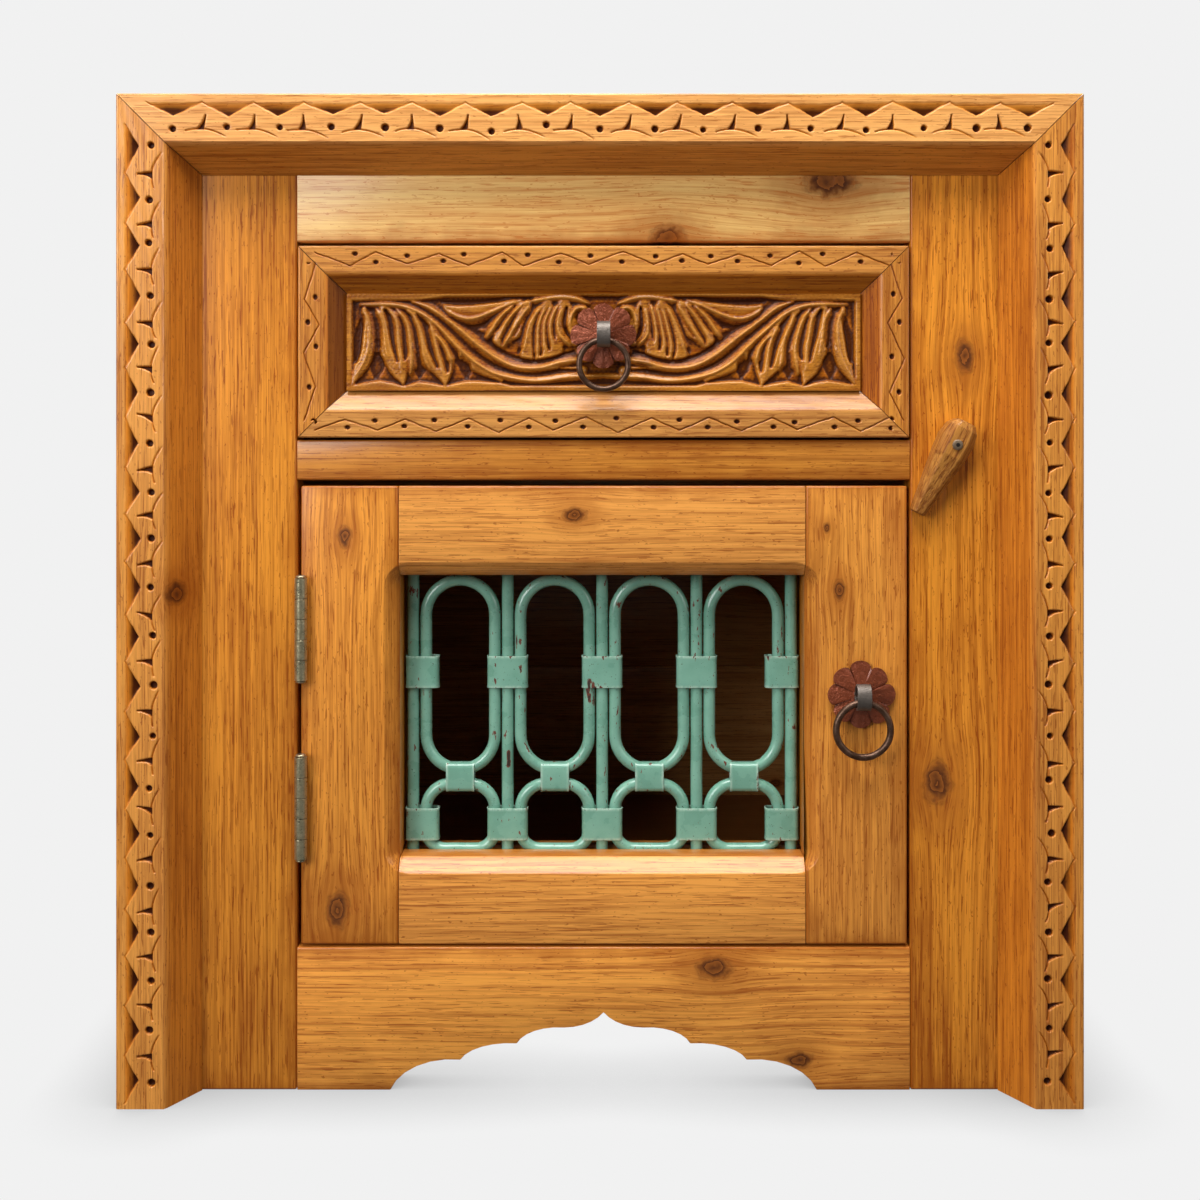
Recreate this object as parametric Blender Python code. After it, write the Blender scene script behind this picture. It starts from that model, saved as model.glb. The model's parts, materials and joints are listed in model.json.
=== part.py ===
"""Bedside cabinet with a carved frame, one drawer and an iron jali grille in its door.

Sizes are in metres.  +Z is up, the front faces -Y, and the origin lies on the floor
under the middle of the cabinet.
"""

import math

import bmesh
import bpy
from mathutils import Matrix, Vector

# Face frame: rails stacked from the floor up, between two stiles
APRON_HEIGHT = 0.0866
DOOR_OPENING_HEIGHT = 0.2839
MIDDLE_RAIL_HEIGHT = 0.0243
DRAWER_OPENING_HEIGHT = 0.1203
TOP_RAIL_HEIGHT = 0.0849
LEFT_STILE_WIDTH = 0.1017
OPENING_WIDTH = 0.3729
RIGHT_STILE_WIDTH = 0.0974
FACE_FRAME_THICKNESS = 0.022
FRAME_TENON_LENGTH = 0.030
FRAME_TENON_THICKNESS = 0.008
TENON_SHOULDER = 0.006

# Arch cut in the apron: two cusps on each side and an ogee point
ARCH_FOOT_HALF_WIDTH = 0.1295
ARCH_LOW_CUSP_HALF_WIDTH = 0.087
ARCH_LOW_CUSP_HEIGHT = 0.0182
ARCH_HIGH_CUSP_HALF_WIDTH = 0.0527
ARCH_HIGH_CUSP_HEIGHT = 0.0281
ARCH_SHOULDER_HALF_WIDTH = 0.024
ARCH_SHOULDER_HEIGHT = 0.0377
ARCH_POINT_HEIGHT = 0.047

# Outer moulding, chip carved with a row of triangles
MOULDING_DEPTH = 0.025
MOULDING_STRIP_WIDTH = 0.029
MOULDING_SPLAY = 0.0155
CHIP_BORDER = 0.0055
CHIP_LENGTH = 0.0077
CHIP_DEPTH = 0.0028
CHIP_LAND = 0.0008
TOP_CHIP_PITCH = 0.032
SIDE_CHIP_PITCH = 0.029

# Carcass boards
CABINET_DEPTH = 0.400
SIDE_PANEL_THICKNESS = 0.018
TOP_BOARD_THICKNESS = 0.022
FLOOR_BOARD_THICKNESS = 0.018
SHELF_THICKNESS = 0.018
BACK_PLANK_THICKNESS = 0.012
BACK_PLANK_COUNT = 4
BACK_PLANK_GAP = 0.0025
DRAWER_GUIDE_WIDTH = 0.020
DRAWER_GUIDE_HEIGHT = 0.025

# Door frame, inset in the lower opening
DOOR_THICKNESS = 0.024
DOOR_HINGE_GAP = 0.0026
DOOR_LATCH_GAP = 0.0020
DOOR_TOP_GAP = 0.0036
DOOR_BOTTOM_GAP = 0.0018
DOOR_LEFT_STILE_WIDTH = 0.0591
DOOR_RIGHT_STILE_WIDTH = 0.0614
DOOR_TOP_RAIL_HEIGHT = 0.0550
DOOR_BOTTOM_RAIL_HEIGHT = 0.0512
DOOR_TENON_LENGTH = 0.026
DOOR_TENON_THICKNESS = 0.006
DOOR_CHAMFER = 0.0085
CHAMFER_FRONT_RADIUS = 0.015
CHAMFER_BACK_RADIUS = 0.005

# Beads behind the door that hold the grille in a rebate
BEAD_WIDTH = 0.020
BEAD_DEPTH = 0.018
BEAD_WALL = 0.0085
ROD_END_ROOM = 0.001

# Jali grille of round rods bound with straps
ROD_DIAMETER = 0.0074
ROD_INSERTION = 0.008
UPRIGHT_COUNT = 5
GRILLE_SIDE_GAP = 0.002
LOOP_LEG_GAP = 0.00065
TALL_LOOP_TOP_GAP = 0.0014
SHORT_LOOP_HEIGHT = 0.0408
SHORT_LOOP_SINK = 0.0011
SHORT_LOOP_TOP_RADIUS = 0.016
SHORT_LOOP_BOTTOM_RADIUS = 0.012
LOOP_SPACING = 0.009
STRAP_THICKNESS = 0.0009
STRAP_CORNER = 0.003
COLLAR_HEIGHT = 0.0198
END_COLLAR_WIDTH = 0.0215
MIDDLE_COLLAR_RISE = 0.1101
BOTTOM_COLLAR_RISE = 0.0151
JOINT_COLLAR_WIDTH = 0.0175

# Drawer: mitred mouldings and a carved panel on a front board, and a plain box behind
DRAWER_SIDE_GAP = 0.0012
DRAWER_TOP_GAP = 0.0025
DRAWER_BOTTOM_GAP = 0.0015
DRAWER_PROUD = 0.003
DRAWER_MOULDING_THICKNESS = 0.013
DRAWER_STRIP_WIDTH = 0.0165
DRAWER_BEVEL_RUN = 0.0118
DRAWER_BEVEL_DEPTH = 0.0095
CARVED_GROUND_THICKNESS = 0.0035
CARVED_BOSS_HEIGHT = 0.0050
CARVED_BOSS_DIAMETER = 0.030
DRAWER_FRONT_THICKNESS = 0.014
DRAWER_BOX_GAP = 0.0015
DRAWER_SIDE_THICKNESS = 0.012
DRAWER_SIDE_HEIGHT = 0.090
DRAWER_BACK_ROOM = 0.0231
DRAWER_BOTTOM_THICKNESS = 0.006
DRAWER_GROOVE_DEPTH = 0.005
DRAWER_GROOVE_RISE = 0.004

# Butt hinges
HINGE_LENGTH = 0.062
HINGE_KNUCKLES = 5
HINGE_BARREL_DIAMETER = 0.0076
HINGE_PIN_DIAMETER = 0.004
HINGE_PIN_HEAD_DIAMETER = 0.0062
HINGE_PIN_HEAD_HEIGHT = 0.0014
HINGE_LEAF_THICKNESS = 0.0008
HINGE_LEAF_WIDTH = 0.0195
HINGE_AXIS_INSET = 0.0008
UPPER_HINGE_DROP = 0.0864
LOWER_HINGE_RISE = 0.0841

# Ring pulls: a petalled rosette, a strap staple through it and a hanging ring
PETAL_COUNT = 8
PETAL_NOTCH = 0.16
ROSETTE_THICKNESS = 0.0012
ROSETTE_DOME = 0.0034
STAPLE_THICKNESS = 0.0015
STAPLE_LEG_GAP = 0.0006
STAPLE_EYE_DEPTH = 0.0124
STAPLE_EYE_HEIGHT = 0.016
STAPLE_CLINCH = 0.012
DOOR_ROSETTE_DIAMETER = 0.043
DOOR_STAPLE_WIDTH = 0.0085
DOOR_RING_DIAMETER = 0.0324
DOOR_RING_BAR = 0.0043
DOOR_PULL_INSET = 0.0286
DOOR_PULL_RISE = 0.1521
DRAWER_ROSETTE_DIAMETER = 0.0415
DRAWER_STAPLE_WIDTH = 0.0081
DRAWER_RING_DIAMETER = 0.0293
DRAWER_RING_BAR = 0.0038
DRAWER_PULL_RISE = 0.0042

# Wooden turn button that holds the door shut
LATCH_LENGTH = 0.0465
LATCH_HEAD_LENGTH = 0.015
LATCH_HEAD_WIDTH = 0.0208
LATCH_TIP_WIDTH = 0.0086
LATCH_HEAD_THICKNESS = 0.017
LATCH_TIP_THICKNESS = 0.009
LATCH_PIVOT_INSET = 0.0244
LATCH_PIVOT_RISE = 0.0253
LATCH_DOOR_CLEARANCE = 0.0012
LATCH_BACK_GAP = 0.0004
SCREW_DIAMETER = 0.004
SCREW_HEAD_DIAMETER = 0.0066
SCREW_HEAD_HEIGHT = 0.0014
SCREW_BITE = 0.016

# Fits
FIT_GAP = 0.0003
RING_PLAY = 0.0004
EDGE_EASE = 0.0008
CUT_OVERSHOOT = 0.0001
ROUND_SIDES = 16
ROD_SIDES = 10

# Places that follow from the sizes above
WIDTH = LEFT_STILE_WIDTH + OPENING_WIDTH + RIGHT_STILE_WIDTH
LEFT = -WIDTH / 2
RIGHT = WIDTH / 2
OPENING_LEFT = LEFT + LEFT_STILE_WIDTH
OPENING_RIGHT = RIGHT - RIGHT_STILE_WIDTH
OPENING_CENTRE = (OPENING_LEFT + OPENING_RIGHT) / 2
MIDDLE_RAIL_BOTTOM = APRON_HEIGHT + DOOR_OPENING_HEIGHT
MIDDLE_RAIL_TOP = MIDDLE_RAIL_BOTTOM + MIDDLE_RAIL_HEIGHT
TOP_RAIL_BOTTOM = MIDDLE_RAIL_TOP + DRAWER_OPENING_HEIGHT
HEIGHT = TOP_RAIL_BOTTOM + TOP_RAIL_HEIGHT
FRONT = -CABINET_DEPTH / 2
BACK = CABINET_DEPTH / 2
FACE = FRONT + MOULDING_DEPTH
FRAME_BACK = FACE + FACE_FRAME_THICKNESS
BOARD_FRONT = FRAME_BACK + FIT_GAP
BOARD_BACK = BACK - BACK_PLANK_THICKNESS - FIT_GAP
CARCASS_TOP = HEIGHT - TOP_BOARD_THICKNESS - FIT_GAP
FLOOR_BOARD_TOP = APRON_HEIGHT - FIT_GAP
BACK_BOTTOM = FLOOR_BOARD_TOP - FLOOR_BOARD_THICKNESS
SHELF_TOP = MIDDLE_RAIL_TOP - FIT_GAP
MOULDING_BASE_WIDTH = MOULDING_STRIP_WIDTH + MOULDING_SPLAY

DOOR_LEFT = OPENING_LEFT + DOOR_HINGE_GAP
DOOR_RIGHT = OPENING_RIGHT - DOOR_LATCH_GAP
DOOR_BOTTOM = APRON_HEIGHT + DOOR_BOTTOM_GAP
DOOR_TOP = MIDDLE_RAIL_BOTTOM - DOOR_TOP_GAP
DOOR_BACK = FACE + DOOR_THICKNESS
WINDOW_LEFT = DOOR_LEFT + DOOR_LEFT_STILE_WIDTH
WINDOW_RIGHT = DOOR_RIGHT - DOOR_RIGHT_STILE_WIDTH
WINDOW_BOTTOM = DOOR_BOTTOM + DOOR_BOTTOM_RAIL_HEIGHT
WINDOW_TOP = DOOR_TOP - DOOR_TOP_RAIL_HEIGHT
BEAD_FRONT = DOOR_BACK + FIT_GAP

ROD_RADIUS = ROD_DIAMETER / 2
GRILLE_PLANE = DOOR_BACK + FIT_GAP + ROD_RADIUS
FIRST_UPRIGHT = WINDOW_LEFT + GRILLE_SIDE_GAP + ROD_RADIUS
LAST_UPRIGHT = WINDOW_RIGHT - GRILLE_SIDE_GAP - ROD_RADIUS
UPRIGHT_PITCH = (LAST_UPRIGHT - FIRST_UPRIGHT) / (UPRIGHT_COUNT - 1)
LEG_OFFSET = ROD_DIAMETER + LOOP_LEG_GAP
LOOP_HALF_WIDTH = UPRIGHT_PITCH / 2 - LEG_OFFSET
SHORT_LOOP_BOTTOM = WINDOW_BOTTOM - SHORT_LOOP_SINK
SHORT_LOOP_TOP = SHORT_LOOP_BOTTOM + SHORT_LOOP_HEIGHT
TALL_LOOP_BOTTOM = SHORT_LOOP_TOP + LOOP_SPACING
TALL_LOOP_TOP = WINDOW_TOP - TALL_LOOP_TOP_GAP - ROD_RADIUS
STRAP_REACH = ROD_RADIUS + FIT_GAP + STRAP_THICKNESS

DRAWER_LEFT = OPENING_LEFT + DRAWER_SIDE_GAP
DRAWER_RIGHT = OPENING_RIGHT - DRAWER_SIDE_GAP
DRAWER_BOTTOM = MIDDLE_RAIL_TOP + DRAWER_BOTTOM_GAP
DRAWER_TOP = TOP_RAIL_BOTTOM - DRAWER_TOP_GAP
DRAWER_STRIP_FRONT = FACE - DRAWER_PROUD
DRAWER_STRIP_BACK = DRAWER_STRIP_FRONT + DRAWER_MOULDING_THICKNESS
DRAWER_MOULDING_WIDTH = DRAWER_STRIP_WIDTH + DRAWER_BEVEL_RUN
CARVED_GROUND = DRAWER_STRIP_BACK - CARVED_GROUND_THICKNESS
CARVED_BOSS_FRONT = CARVED_GROUND - CARVED_BOSS_HEIGHT
DRAWER_BOARD_FRONT = DRAWER_STRIP_BACK + FIT_GAP
DRAWER_BOARD_BACK = DRAWER_BOARD_FRONT + DRAWER_FRONT_THICKNESS
DRAWER_BOX_FRONT = DRAWER_BOARD_BACK + FIT_GAP
DRAWER_BOX_BACK = BOARD_BACK - DRAWER_BACK_ROOM
DRAWER_BOX_LEFT = OPENING_LEFT + DRAWER_BOX_GAP
DRAWER_BOX_RIGHT = OPENING_RIGHT - DRAWER_BOX_GAP
DRAWER_BOX_BOTTOM = MIDDLE_RAIL_TOP + FIT_GAP
DRAWER_BOX_TOP = DRAWER_BOX_BOTTOM + DRAWER_SIDE_HEIGHT

HINGE_RADIUS = HINGE_BARREL_DIAMETER / 2
HINGE_X = DOOR_LEFT + HINGE_AXIS_INSET
HINGE_Y = FACE - HINGE_RADIUS - FIT_GAP - CUT_OVERSHOOT
HINGE_BORE_RADIUS = HINGE_PIN_DIAMETER / 2 + FIT_GAP * 2 / 3

DOOR_PULL_X = DOOR_RIGHT - DOOR_PULL_INSET
DOOR_PULL_Z = DOOR_BOTTOM + DOOR_PULL_RISE
DRAWER_PULL_X = OPENING_CENTRE
DRAWER_PULL_Z = (DRAWER_BOTTOM + DRAWER_TOP) / 2 + DRAWER_PULL_RISE

LATCH_X = OPENING_RIGHT + LATCH_PIVOT_INSET
LATCH_Z = DOOR_TOP + LATCH_PIVOT_RISE
LATCH_BACK = FACE - LATCH_BACK_GAP
LATCH_TIP_REACH = math.hypot(LATCH_LENGTH, LATCH_TIP_WIDTH / 2)
LATCH_TIP_SPREAD = math.atan2(LATCH_TIP_WIDTH / 2, LATCH_LENGTH)
# The button rests turned just clear of the door, so that the door can swing past it
LATCH_REST_DROP = LATCH_TIP_SPREAD + math.acos(
    (LATCH_X - DOOR_RIGHT - LATCH_DOOR_CLEARANCE) / LATCH_TIP_REACH)

# Finishes: colour, roughness, metallic
HONEY_WOOD = ((0.60, 0.215, 0.040), 0.52, 0.0)
PALE_WOOD = ((0.68, 0.290, 0.075), 0.52, 0.0)
BROWN_WOOD = ((0.33, 0.105, 0.018), 0.55, 0.0)
INNER_WOOD = ((0.36, 0.190, 0.080), 0.70, 0.0)
GREEN_PAINT = ((0.180, 0.385, 0.285), 0.55, 0.0)
OXIDE_IRON = ((0.160, 0.045, 0.024), 0.60, 0.6)
DARK_IRON = ((0.060, 0.040, 0.030), 0.50, 0.8)
WORN_STEEL = ((0.300, 0.270, 0.230), 0.42, 0.9)


def clear_scene():
    for old in list(bpy.data.objects):
        bpy.data.objects.remove(old, do_unlink=True)


def make_material(name, finish):
    colour, roughness, metallic = finish
    material = bpy.data.materials.new(name + "_finish")
    material.use_nodes = True
    shader = material.node_tree.nodes["Principled BSDF"]
    shader.inputs["Base Color"].default_value = (*colour, 1.0)
    shader.inputs["Roughness"].default_value = roughness
    shader.inputs["Metallic"].default_value = metallic
    return material


def add_pivot(name, place, parent=None):
    pivot = bpy.data.objects.new(name, None)
    bpy.context.scene.collection.objects.link(pivot)
    pivot.location = place
    attach(pivot, parent)
    return pivot


def attach(child, parent):
    """Parent an object and keep its location in world coordinates."""
    if parent is None:
        return
    child.parent = parent
    child.matrix_parent_inverse = Matrix.Translation(parent.location).inverted()


def add_object(name, shape, place, parent):
    bmesh.ops.recalc_face_normals(shape, faces=shape.faces[:])
    mesh = bpy.data.meshes.new(name)
    shape.to_mesh(mesh)
    shape.free()
    thing = bpy.data.objects.new(name, mesh)
    bpy.context.scene.collection.objects.link(thing)
    thing.location = place
    attach(thing, parent)
    return thing


def add_piece(name, shape, place, finish, parent=None, smooth=False):
    piece = add_object(name, shape, place, parent)
    piece.data.materials.append(make_material(name, finish))
    if smooth:
        piece.data.shade_smooth()
        piece.data.set_sharp_from_angle(angle=math.radians(40))
    return piece


def add_helper(name, shape, place, parent=None):
    """A hidden shape that another piece is cut by or joined with."""
    helper = add_object(name, shape, place, parent)
    helper.hide_render = True
    helper.display_type = 'WIRE'
    return helper


def combine(piece, helper, operation):
    modifier = piece.modifiers.new(operation.lower() + "_" + helper.name, 'BOOLEAN')
    modifier.operation = operation
    modifier.solver = 'EXACT'
    modifier.object = helper


def cut(piece, helper):
    combine(piece, helper, 'DIFFERENCE')


def join(piece, helper):
    combine(piece, helper, 'UNION')


def block(low, high):
    """A box between two corners, as a shape round its own middle, and that middle."""
    low = Vector(low)
    high = Vector(high)
    shape = bmesh.new()
    bmesh.ops.create_cube(shape, size=1.0, matrix=Matrix.Diagonal((*(high - low), 1.0)))
    return shape, (low + high) / 2


def ease(shape, width=EDGE_EASE, along=None, segments=1):
    """Take the sharpness off the outer edges, or off those along one axis."""
    edges = []
    for edge in shape.edges:
        direction = (edge.verts[1].co - edge.verts[0].co).normalized()
        if edge.is_convex and edge.calc_face_angle(0.0) > math.radians(40):
            if along is None or abs(direction["XYZ".index(along)]) > 0.99:
                edges.append(edge)
    bmesh.ops.bevel(shape, geom=edges, offset=width, offset_type='OFFSET', segments=segments,
                    profile=0.5, affect='EDGES', clamp_overlap=True)


def add_board(name, low, high, finish, parent=None):
    shape, middle = block(low, high)
    ease(shape)
    return add_piece(name, shape, middle, finish, parent)


def add_block_helper(name, low, high, parent=None):
    shape, middle = block(low, high)
    return add_helper(name, shape, middle, parent)


def prism(outline, axis, low, high):
    """A flat outline extruded along an axis.

    The outline's points are (y, z) for X, (x, z) for Y and (x, y) for Z.
    """
    shape = bmesh.new()
    corners = []
    for first, second in outline:
        point = {'X': (low, first, second), 'Y': (first, low, second), 'Z': (first, second, low)}
        corners.append(shape.verts.new(point[axis]))
    face = shape.faces.new(corners)
    grown = bmesh.ops.extrude_face_region(shape, geom=[face])["geom"]
    moved = [item for item in grown if isinstance(item, bmesh.types.BMVert)]
    travel = Vector([high - low if axis == name else 0.0 for name in "XYZ"])
    bmesh.ops.translate(shape, vec=travel, verts=moved)
    bmesh.ops.recalc_face_normals(shape, faces=shape.faces[:])
    return shape


def turn(profile, sides=ROUND_SIDES):
    """A profile of (radius, height) points turned once round the Z axis."""
    shape = bmesh.new()
    points = [shape.verts.new((radius, 0.0, height)) for radius, height in profile]
    edges = [shape.edges.new(pair) for pair in zip(points, points[1:])]
    bmesh.ops.spin(shape, geom=points + edges, cent=(0, 0, 0), axis=(0, 0, 1), dvec=(0, 0, 0),
                   angle=math.tau, steps=sides, use_merge=True)
    bmesh.ops.remove_doubles(shape, verts=shape.verts[:], dist=CUT_OVERSHOOT / 10)
    bmesh.ops.recalc_face_normals(shape, faces=shape.faces[:])
    return shape


def cylinder(radius, low, high, sides=ROUND_SIDES):
    return turn([(0.0, low), (radius, low), (radius, high), (0.0, high)], sides)


def face_forward(shape):
    """Turn a shape made along +Z so that it points out of the front, along -Y."""
    bmesh.ops.rotate(shape, cent=(0, 0, 0), matrix=Matrix.Rotation(math.pi / 2, 3, 'X'),
                     verts=shape.verts[:])
    return shape


def tenoned_rail(outline, thickness, tenon_length, tenon_thickness):
    """A rail from its front outline, with a stub tenon standing out of both ends."""
    shape = prism(outline, 'Y', -thickness / 2, thickness / 2)
    ends = [min(x for x, z in outline), max(x for x, z in outline)]
    for end, direction in zip(ends, (-1, 1)):
        face = next(f for f in shape.faces
                    if abs(f.normal.x) > 0.99 and abs(f.calc_center_median().x - end) < FIT_GAP)
        middle = face.calc_center_median()
        half_height = (max(v.co.z for v in face.verts) - min(v.co.z for v in face.verts)) / 2
        root = bmesh.ops.extrude_discrete_faces(shape, faces=[face])["faces"][0]
        for vert in root.verts:
            vert.co.y = math.copysign(tenon_thickness / 2, vert.co.y)
            vert.co.z = middle.z + math.copysign(half_height - TENON_SHOULDER, vert.co.z - middle.z)
        tip = bmesh.ops.extrude_discrete_faces(shape, faces=[root])["faces"][0]
        bmesh.ops.translate(shape, vec=(direction * (tenon_length + FIT_GAP), 0, 0), verts=tip.verts)
    bmesh.ops.recalc_face_normals(shape, faces=shape.faces[:])
    long_edges = [edge for edge in shape.edges
                  if edge.calc_length() > (ends[1] - ends[0]) / 2
                  and abs(abs(edge.verts[0].co.y) - thickness / 2) < CUT_OVERSHOOT]
    bmesh.ops.bevel(shape, geom=long_edges, offset=EDGE_EASE, offset_type='OFFSET', segments=1,
                    profile=0.5, affect='EDGES', clamp_overlap=True)
    return shape


def mortise(name, stile, edge, side, bottom, top, middle_y, length, thickness, parent=None):
    """Cut the slot for a tenon into a stile's edge; side is -1 when the slot runs left."""
    ends = sorted((edge - side * FIT_GAP, edge + side * (length + FIT_GAP)))
    reach = thickness / 2 + FIT_GAP
    low = (ends[0], middle_y - reach, bottom + TENON_SHOULDER - FIT_GAP)
    high = (ends[1], middle_y + reach, top - TENON_SHOULDER + FIT_GAP)
    cut(stile, add_block_helper(name, low, high, parent))


def arc_between(start, end, first_angle, last_angle, steps):
    """Points of an elliptic arc that leaves start steeply and flattens out at end."""
    points = []
    for step in range(1, steps + 1):
        angle = math.radians(first_angle + (last_angle - first_angle) * step / steps)
        first = math.radians(first_angle)
        last = math.radians(last_angle)
        across = (math.cos(first) - math.cos(angle)) / (math.cos(first) - math.cos(last))
        up = (math.sin(angle) - math.sin(first)) / (math.sin(last) - math.sin(first))
        points.append((start[0] + (end[0] - start[0]) * across, start[1] + (end[1] - start[1]) * up))
    return points


def arch_half():
    """Right half of the apron's arch as (half width, height), from its foot to its point."""
    foot = (ARCH_FOOT_HALF_WIDTH, 0.0)
    low_cusp = (ARCH_LOW_CUSP_HALF_WIDTH, ARCH_LOW_CUSP_HEIGHT)
    high_cusp = (ARCH_HIGH_CUSP_HALF_WIDTH, ARCH_HIGH_CUSP_HEIGHT)
    shoulder = (ARCH_SHOULDER_HALF_WIDTH, ARCH_SHOULDER_HEIGHT)
    points = [foot]
    for start, end in ((foot, low_cusp), (low_cusp, high_cusp), (high_cusp, shoulder)):
        points += arc_between(start, end, 15, 98, 6)
    ogee = arc_between((0.0, ARCH_POINT_HEIGHT), shoulder, 28, 90, 5)
    return points + ogee[-2::-1] + [(0.0, ARCH_POINT_HEIGHT)]


def apron_outline(left, right):
    middle = (left + right) / 2
    half = arch_half()
    arch = [(middle - x, z) for x, z in half] + [(middle + x, z) for x, z in half[-2::-1]]
    return [(left, 0.0)] + arch + [(right, 0.0), (right, APRON_HEIGHT), (left, APRON_HEIGHT)]


def build_face_frame():
    stiles = {
        "left": add_board("face_stile_left", (LEFT, FACE, 0), (OPENING_LEFT, FRAME_BACK, HEIGHT),
                          HONEY_WOOD),
        "right": add_board("face_stile_right", (OPENING_RIGHT, FACE, 0), (RIGHT, FRAME_BACK, HEIGHT),
                           HONEY_WOOD),
    }
    left = OPENING_LEFT + FIT_GAP
    right = OPENING_RIGHT - FIT_GAP
    middle_y = (FACE + FRAME_BACK) / 2
    for name, bottom, top in (("apron_rail", 0.0, APRON_HEIGHT),
                              ("middle_rail", MIDDLE_RAIL_BOTTOM, MIDDLE_RAIL_TOP),
                              ("top_rail", TOP_RAIL_BOTTOM, HEIGHT)):
        outline = [(left, bottom), (right, bottom), (right, top), (left, top)]
        if name == "apron_rail":
            outline = apron_outline(left, right)
        shape = tenoned_rail(outline, FACE_FRAME_THICKNESS, FRAME_TENON_LENGTH, FRAME_TENON_THICKNESS)
        add_piece(name, shape, (0, middle_y, 0), HONEY_WOOD if name == "middle_rail" else PALE_WOOD)
        for side, edge, direction in (("left", OPENING_LEFT, -1), ("right", OPENING_RIGHT, 1)):
            mortise(f"{name}_mortise_{side}", stiles[side], edge, direction, bottom, top, middle_y,
                    FRAME_TENON_LENGTH, FRAME_TENON_THICKNESS)
    # Pilot hole for the turn button's screw
    pilot = face_forward(cylinder(SCREW_DIAMETER / 2 + FIT_GAP, -SCREW_BITE - FIT_GAP, FIT_GAP))
    cut(stiles["right"], add_helper("latch_pilot_hole", pilot, (LATCH_X, FACE, LATCH_Z)))


def mitred_member(rect, side, profile, square_foot=False):
    """One side of a mitred frame.

    rect is (left, right, bottom, top) of the frame's outside, and profile holds
    (distance in from the outside, y) points.  With square_foot the frame has no
    bottom member, and its sides end square on the floor.
    """
    left, right, bottom, top = rect
    rings = []
    shape = bmesh.new()
    for end in (0, 1):
        ring = []
        for inset, y in profile:
            back_off = inset + FIT_GAP
            foot = bottom if square_foot else bottom + back_off
            point = {
                'top': ((left + back_off, right - back_off)[end], y, top - inset),
                'bottom': ((left + back_off, right - back_off)[end], y, bottom + inset),
                'left': (left + inset, y, (foot, top - back_off)[end]),
                'right': (right - inset, y, (foot, top - back_off)[end]),
            }
            ring.append(shape.verts.new(point[side]))
        rings.append(ring)
    for ring in rings:
        shape.faces.new(ring)
    count = len(profile)
    for index in range(count):
        following = (index + 1) % count
        shape.faces.new((rings[0][index], rings[0][following], rings[1][following], rings[1][index]))
    bmesh.ops.recalc_face_normals(shape, faces=shape.faces[:])
    return shape


def chip_cutters(side, start, end, pitch):
    """Wedges for a row of chip cuts along one outer moulding.

    Each cut is a triangle whose base lies along the border, and whose floor slopes
    down from there to the point.
    """
    count = round((end - start) / pitch)
    step = (end - start) / count
    stretch = 1 + CUT_OVERSHOOT / CHIP_LENGTH
    half_base = (step - CHIP_LAND) / 2 * stretch
    base_inset = CHIP_BORDER + CHIP_LENGTH - CHIP_LENGTH * stretch
    base_depth = CHIP_DEPTH * (1 - stretch)
    point_inset = CHIP_BORDER + CHIP_LENGTH

    def place(along, inset, depth):
        y = FRONT + depth
        across = {'left': (LEFT + inset, y, along), 'right': (RIGHT - inset, y, along),
                  'top': (along, y, HEIGHT - inset)}
        return across[side]

    shape = bmesh.new()
    for index in range(count):
        middle = start + step * (index + 0.5)
        plan = [(middle - half_base, base_inset), (middle + half_base, base_inset), (middle, point_inset)]
        floors = [base_depth, base_depth, CHIP_DEPTH]
        upper = [shape.verts.new(place(a, i, -CUT_OVERSHOOT)) for a, i in plan]
        lower = [shape.verts.new(place(a, i, d)) for (a, i), d in zip(plan, floors)]
        shape.faces.new(upper)
        shape.faces.new(lower)
        for corner in range(3):
            after = (corner + 1) % 3
            shape.faces.new((upper[corner], upper[after], lower[after], lower[corner]))
    bmesh.ops.recalc_face_normals(shape, faces=shape.faces[:])
    return shape


def build_outer_moulding():
    profile = [(0.0, FRONT), (MOULDING_STRIP_WIDTH, FRONT), (MOULDING_BASE_WIDTH, FACE - FIT_GAP),
               (0.0, FACE - FIT_GAP)]
    corner = MOULDING_STRIP_WIDTH
    for side, start, end, pitch in (('top', LEFT + corner, RIGHT - corner, TOP_CHIP_PITCH),
                                    ('left', CHIP_BORDER, HEIGHT - corner, SIDE_CHIP_PITCH),
                                    ('right', CHIP_BORDER, HEIGHT - corner, SIDE_CHIP_PITCH)):
        shape = mitred_member((LEFT, RIGHT, 0.0, HEIGHT), side, profile, square_foot=True)
        piece = add_piece("frame_moulding_" + side, shape, (0, 0, 0), HONEY_WOOD)
        cut(piece, add_helper("chips_" + side, chip_cutters(side, start, end, pitch), (0, 0, 0)))


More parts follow.
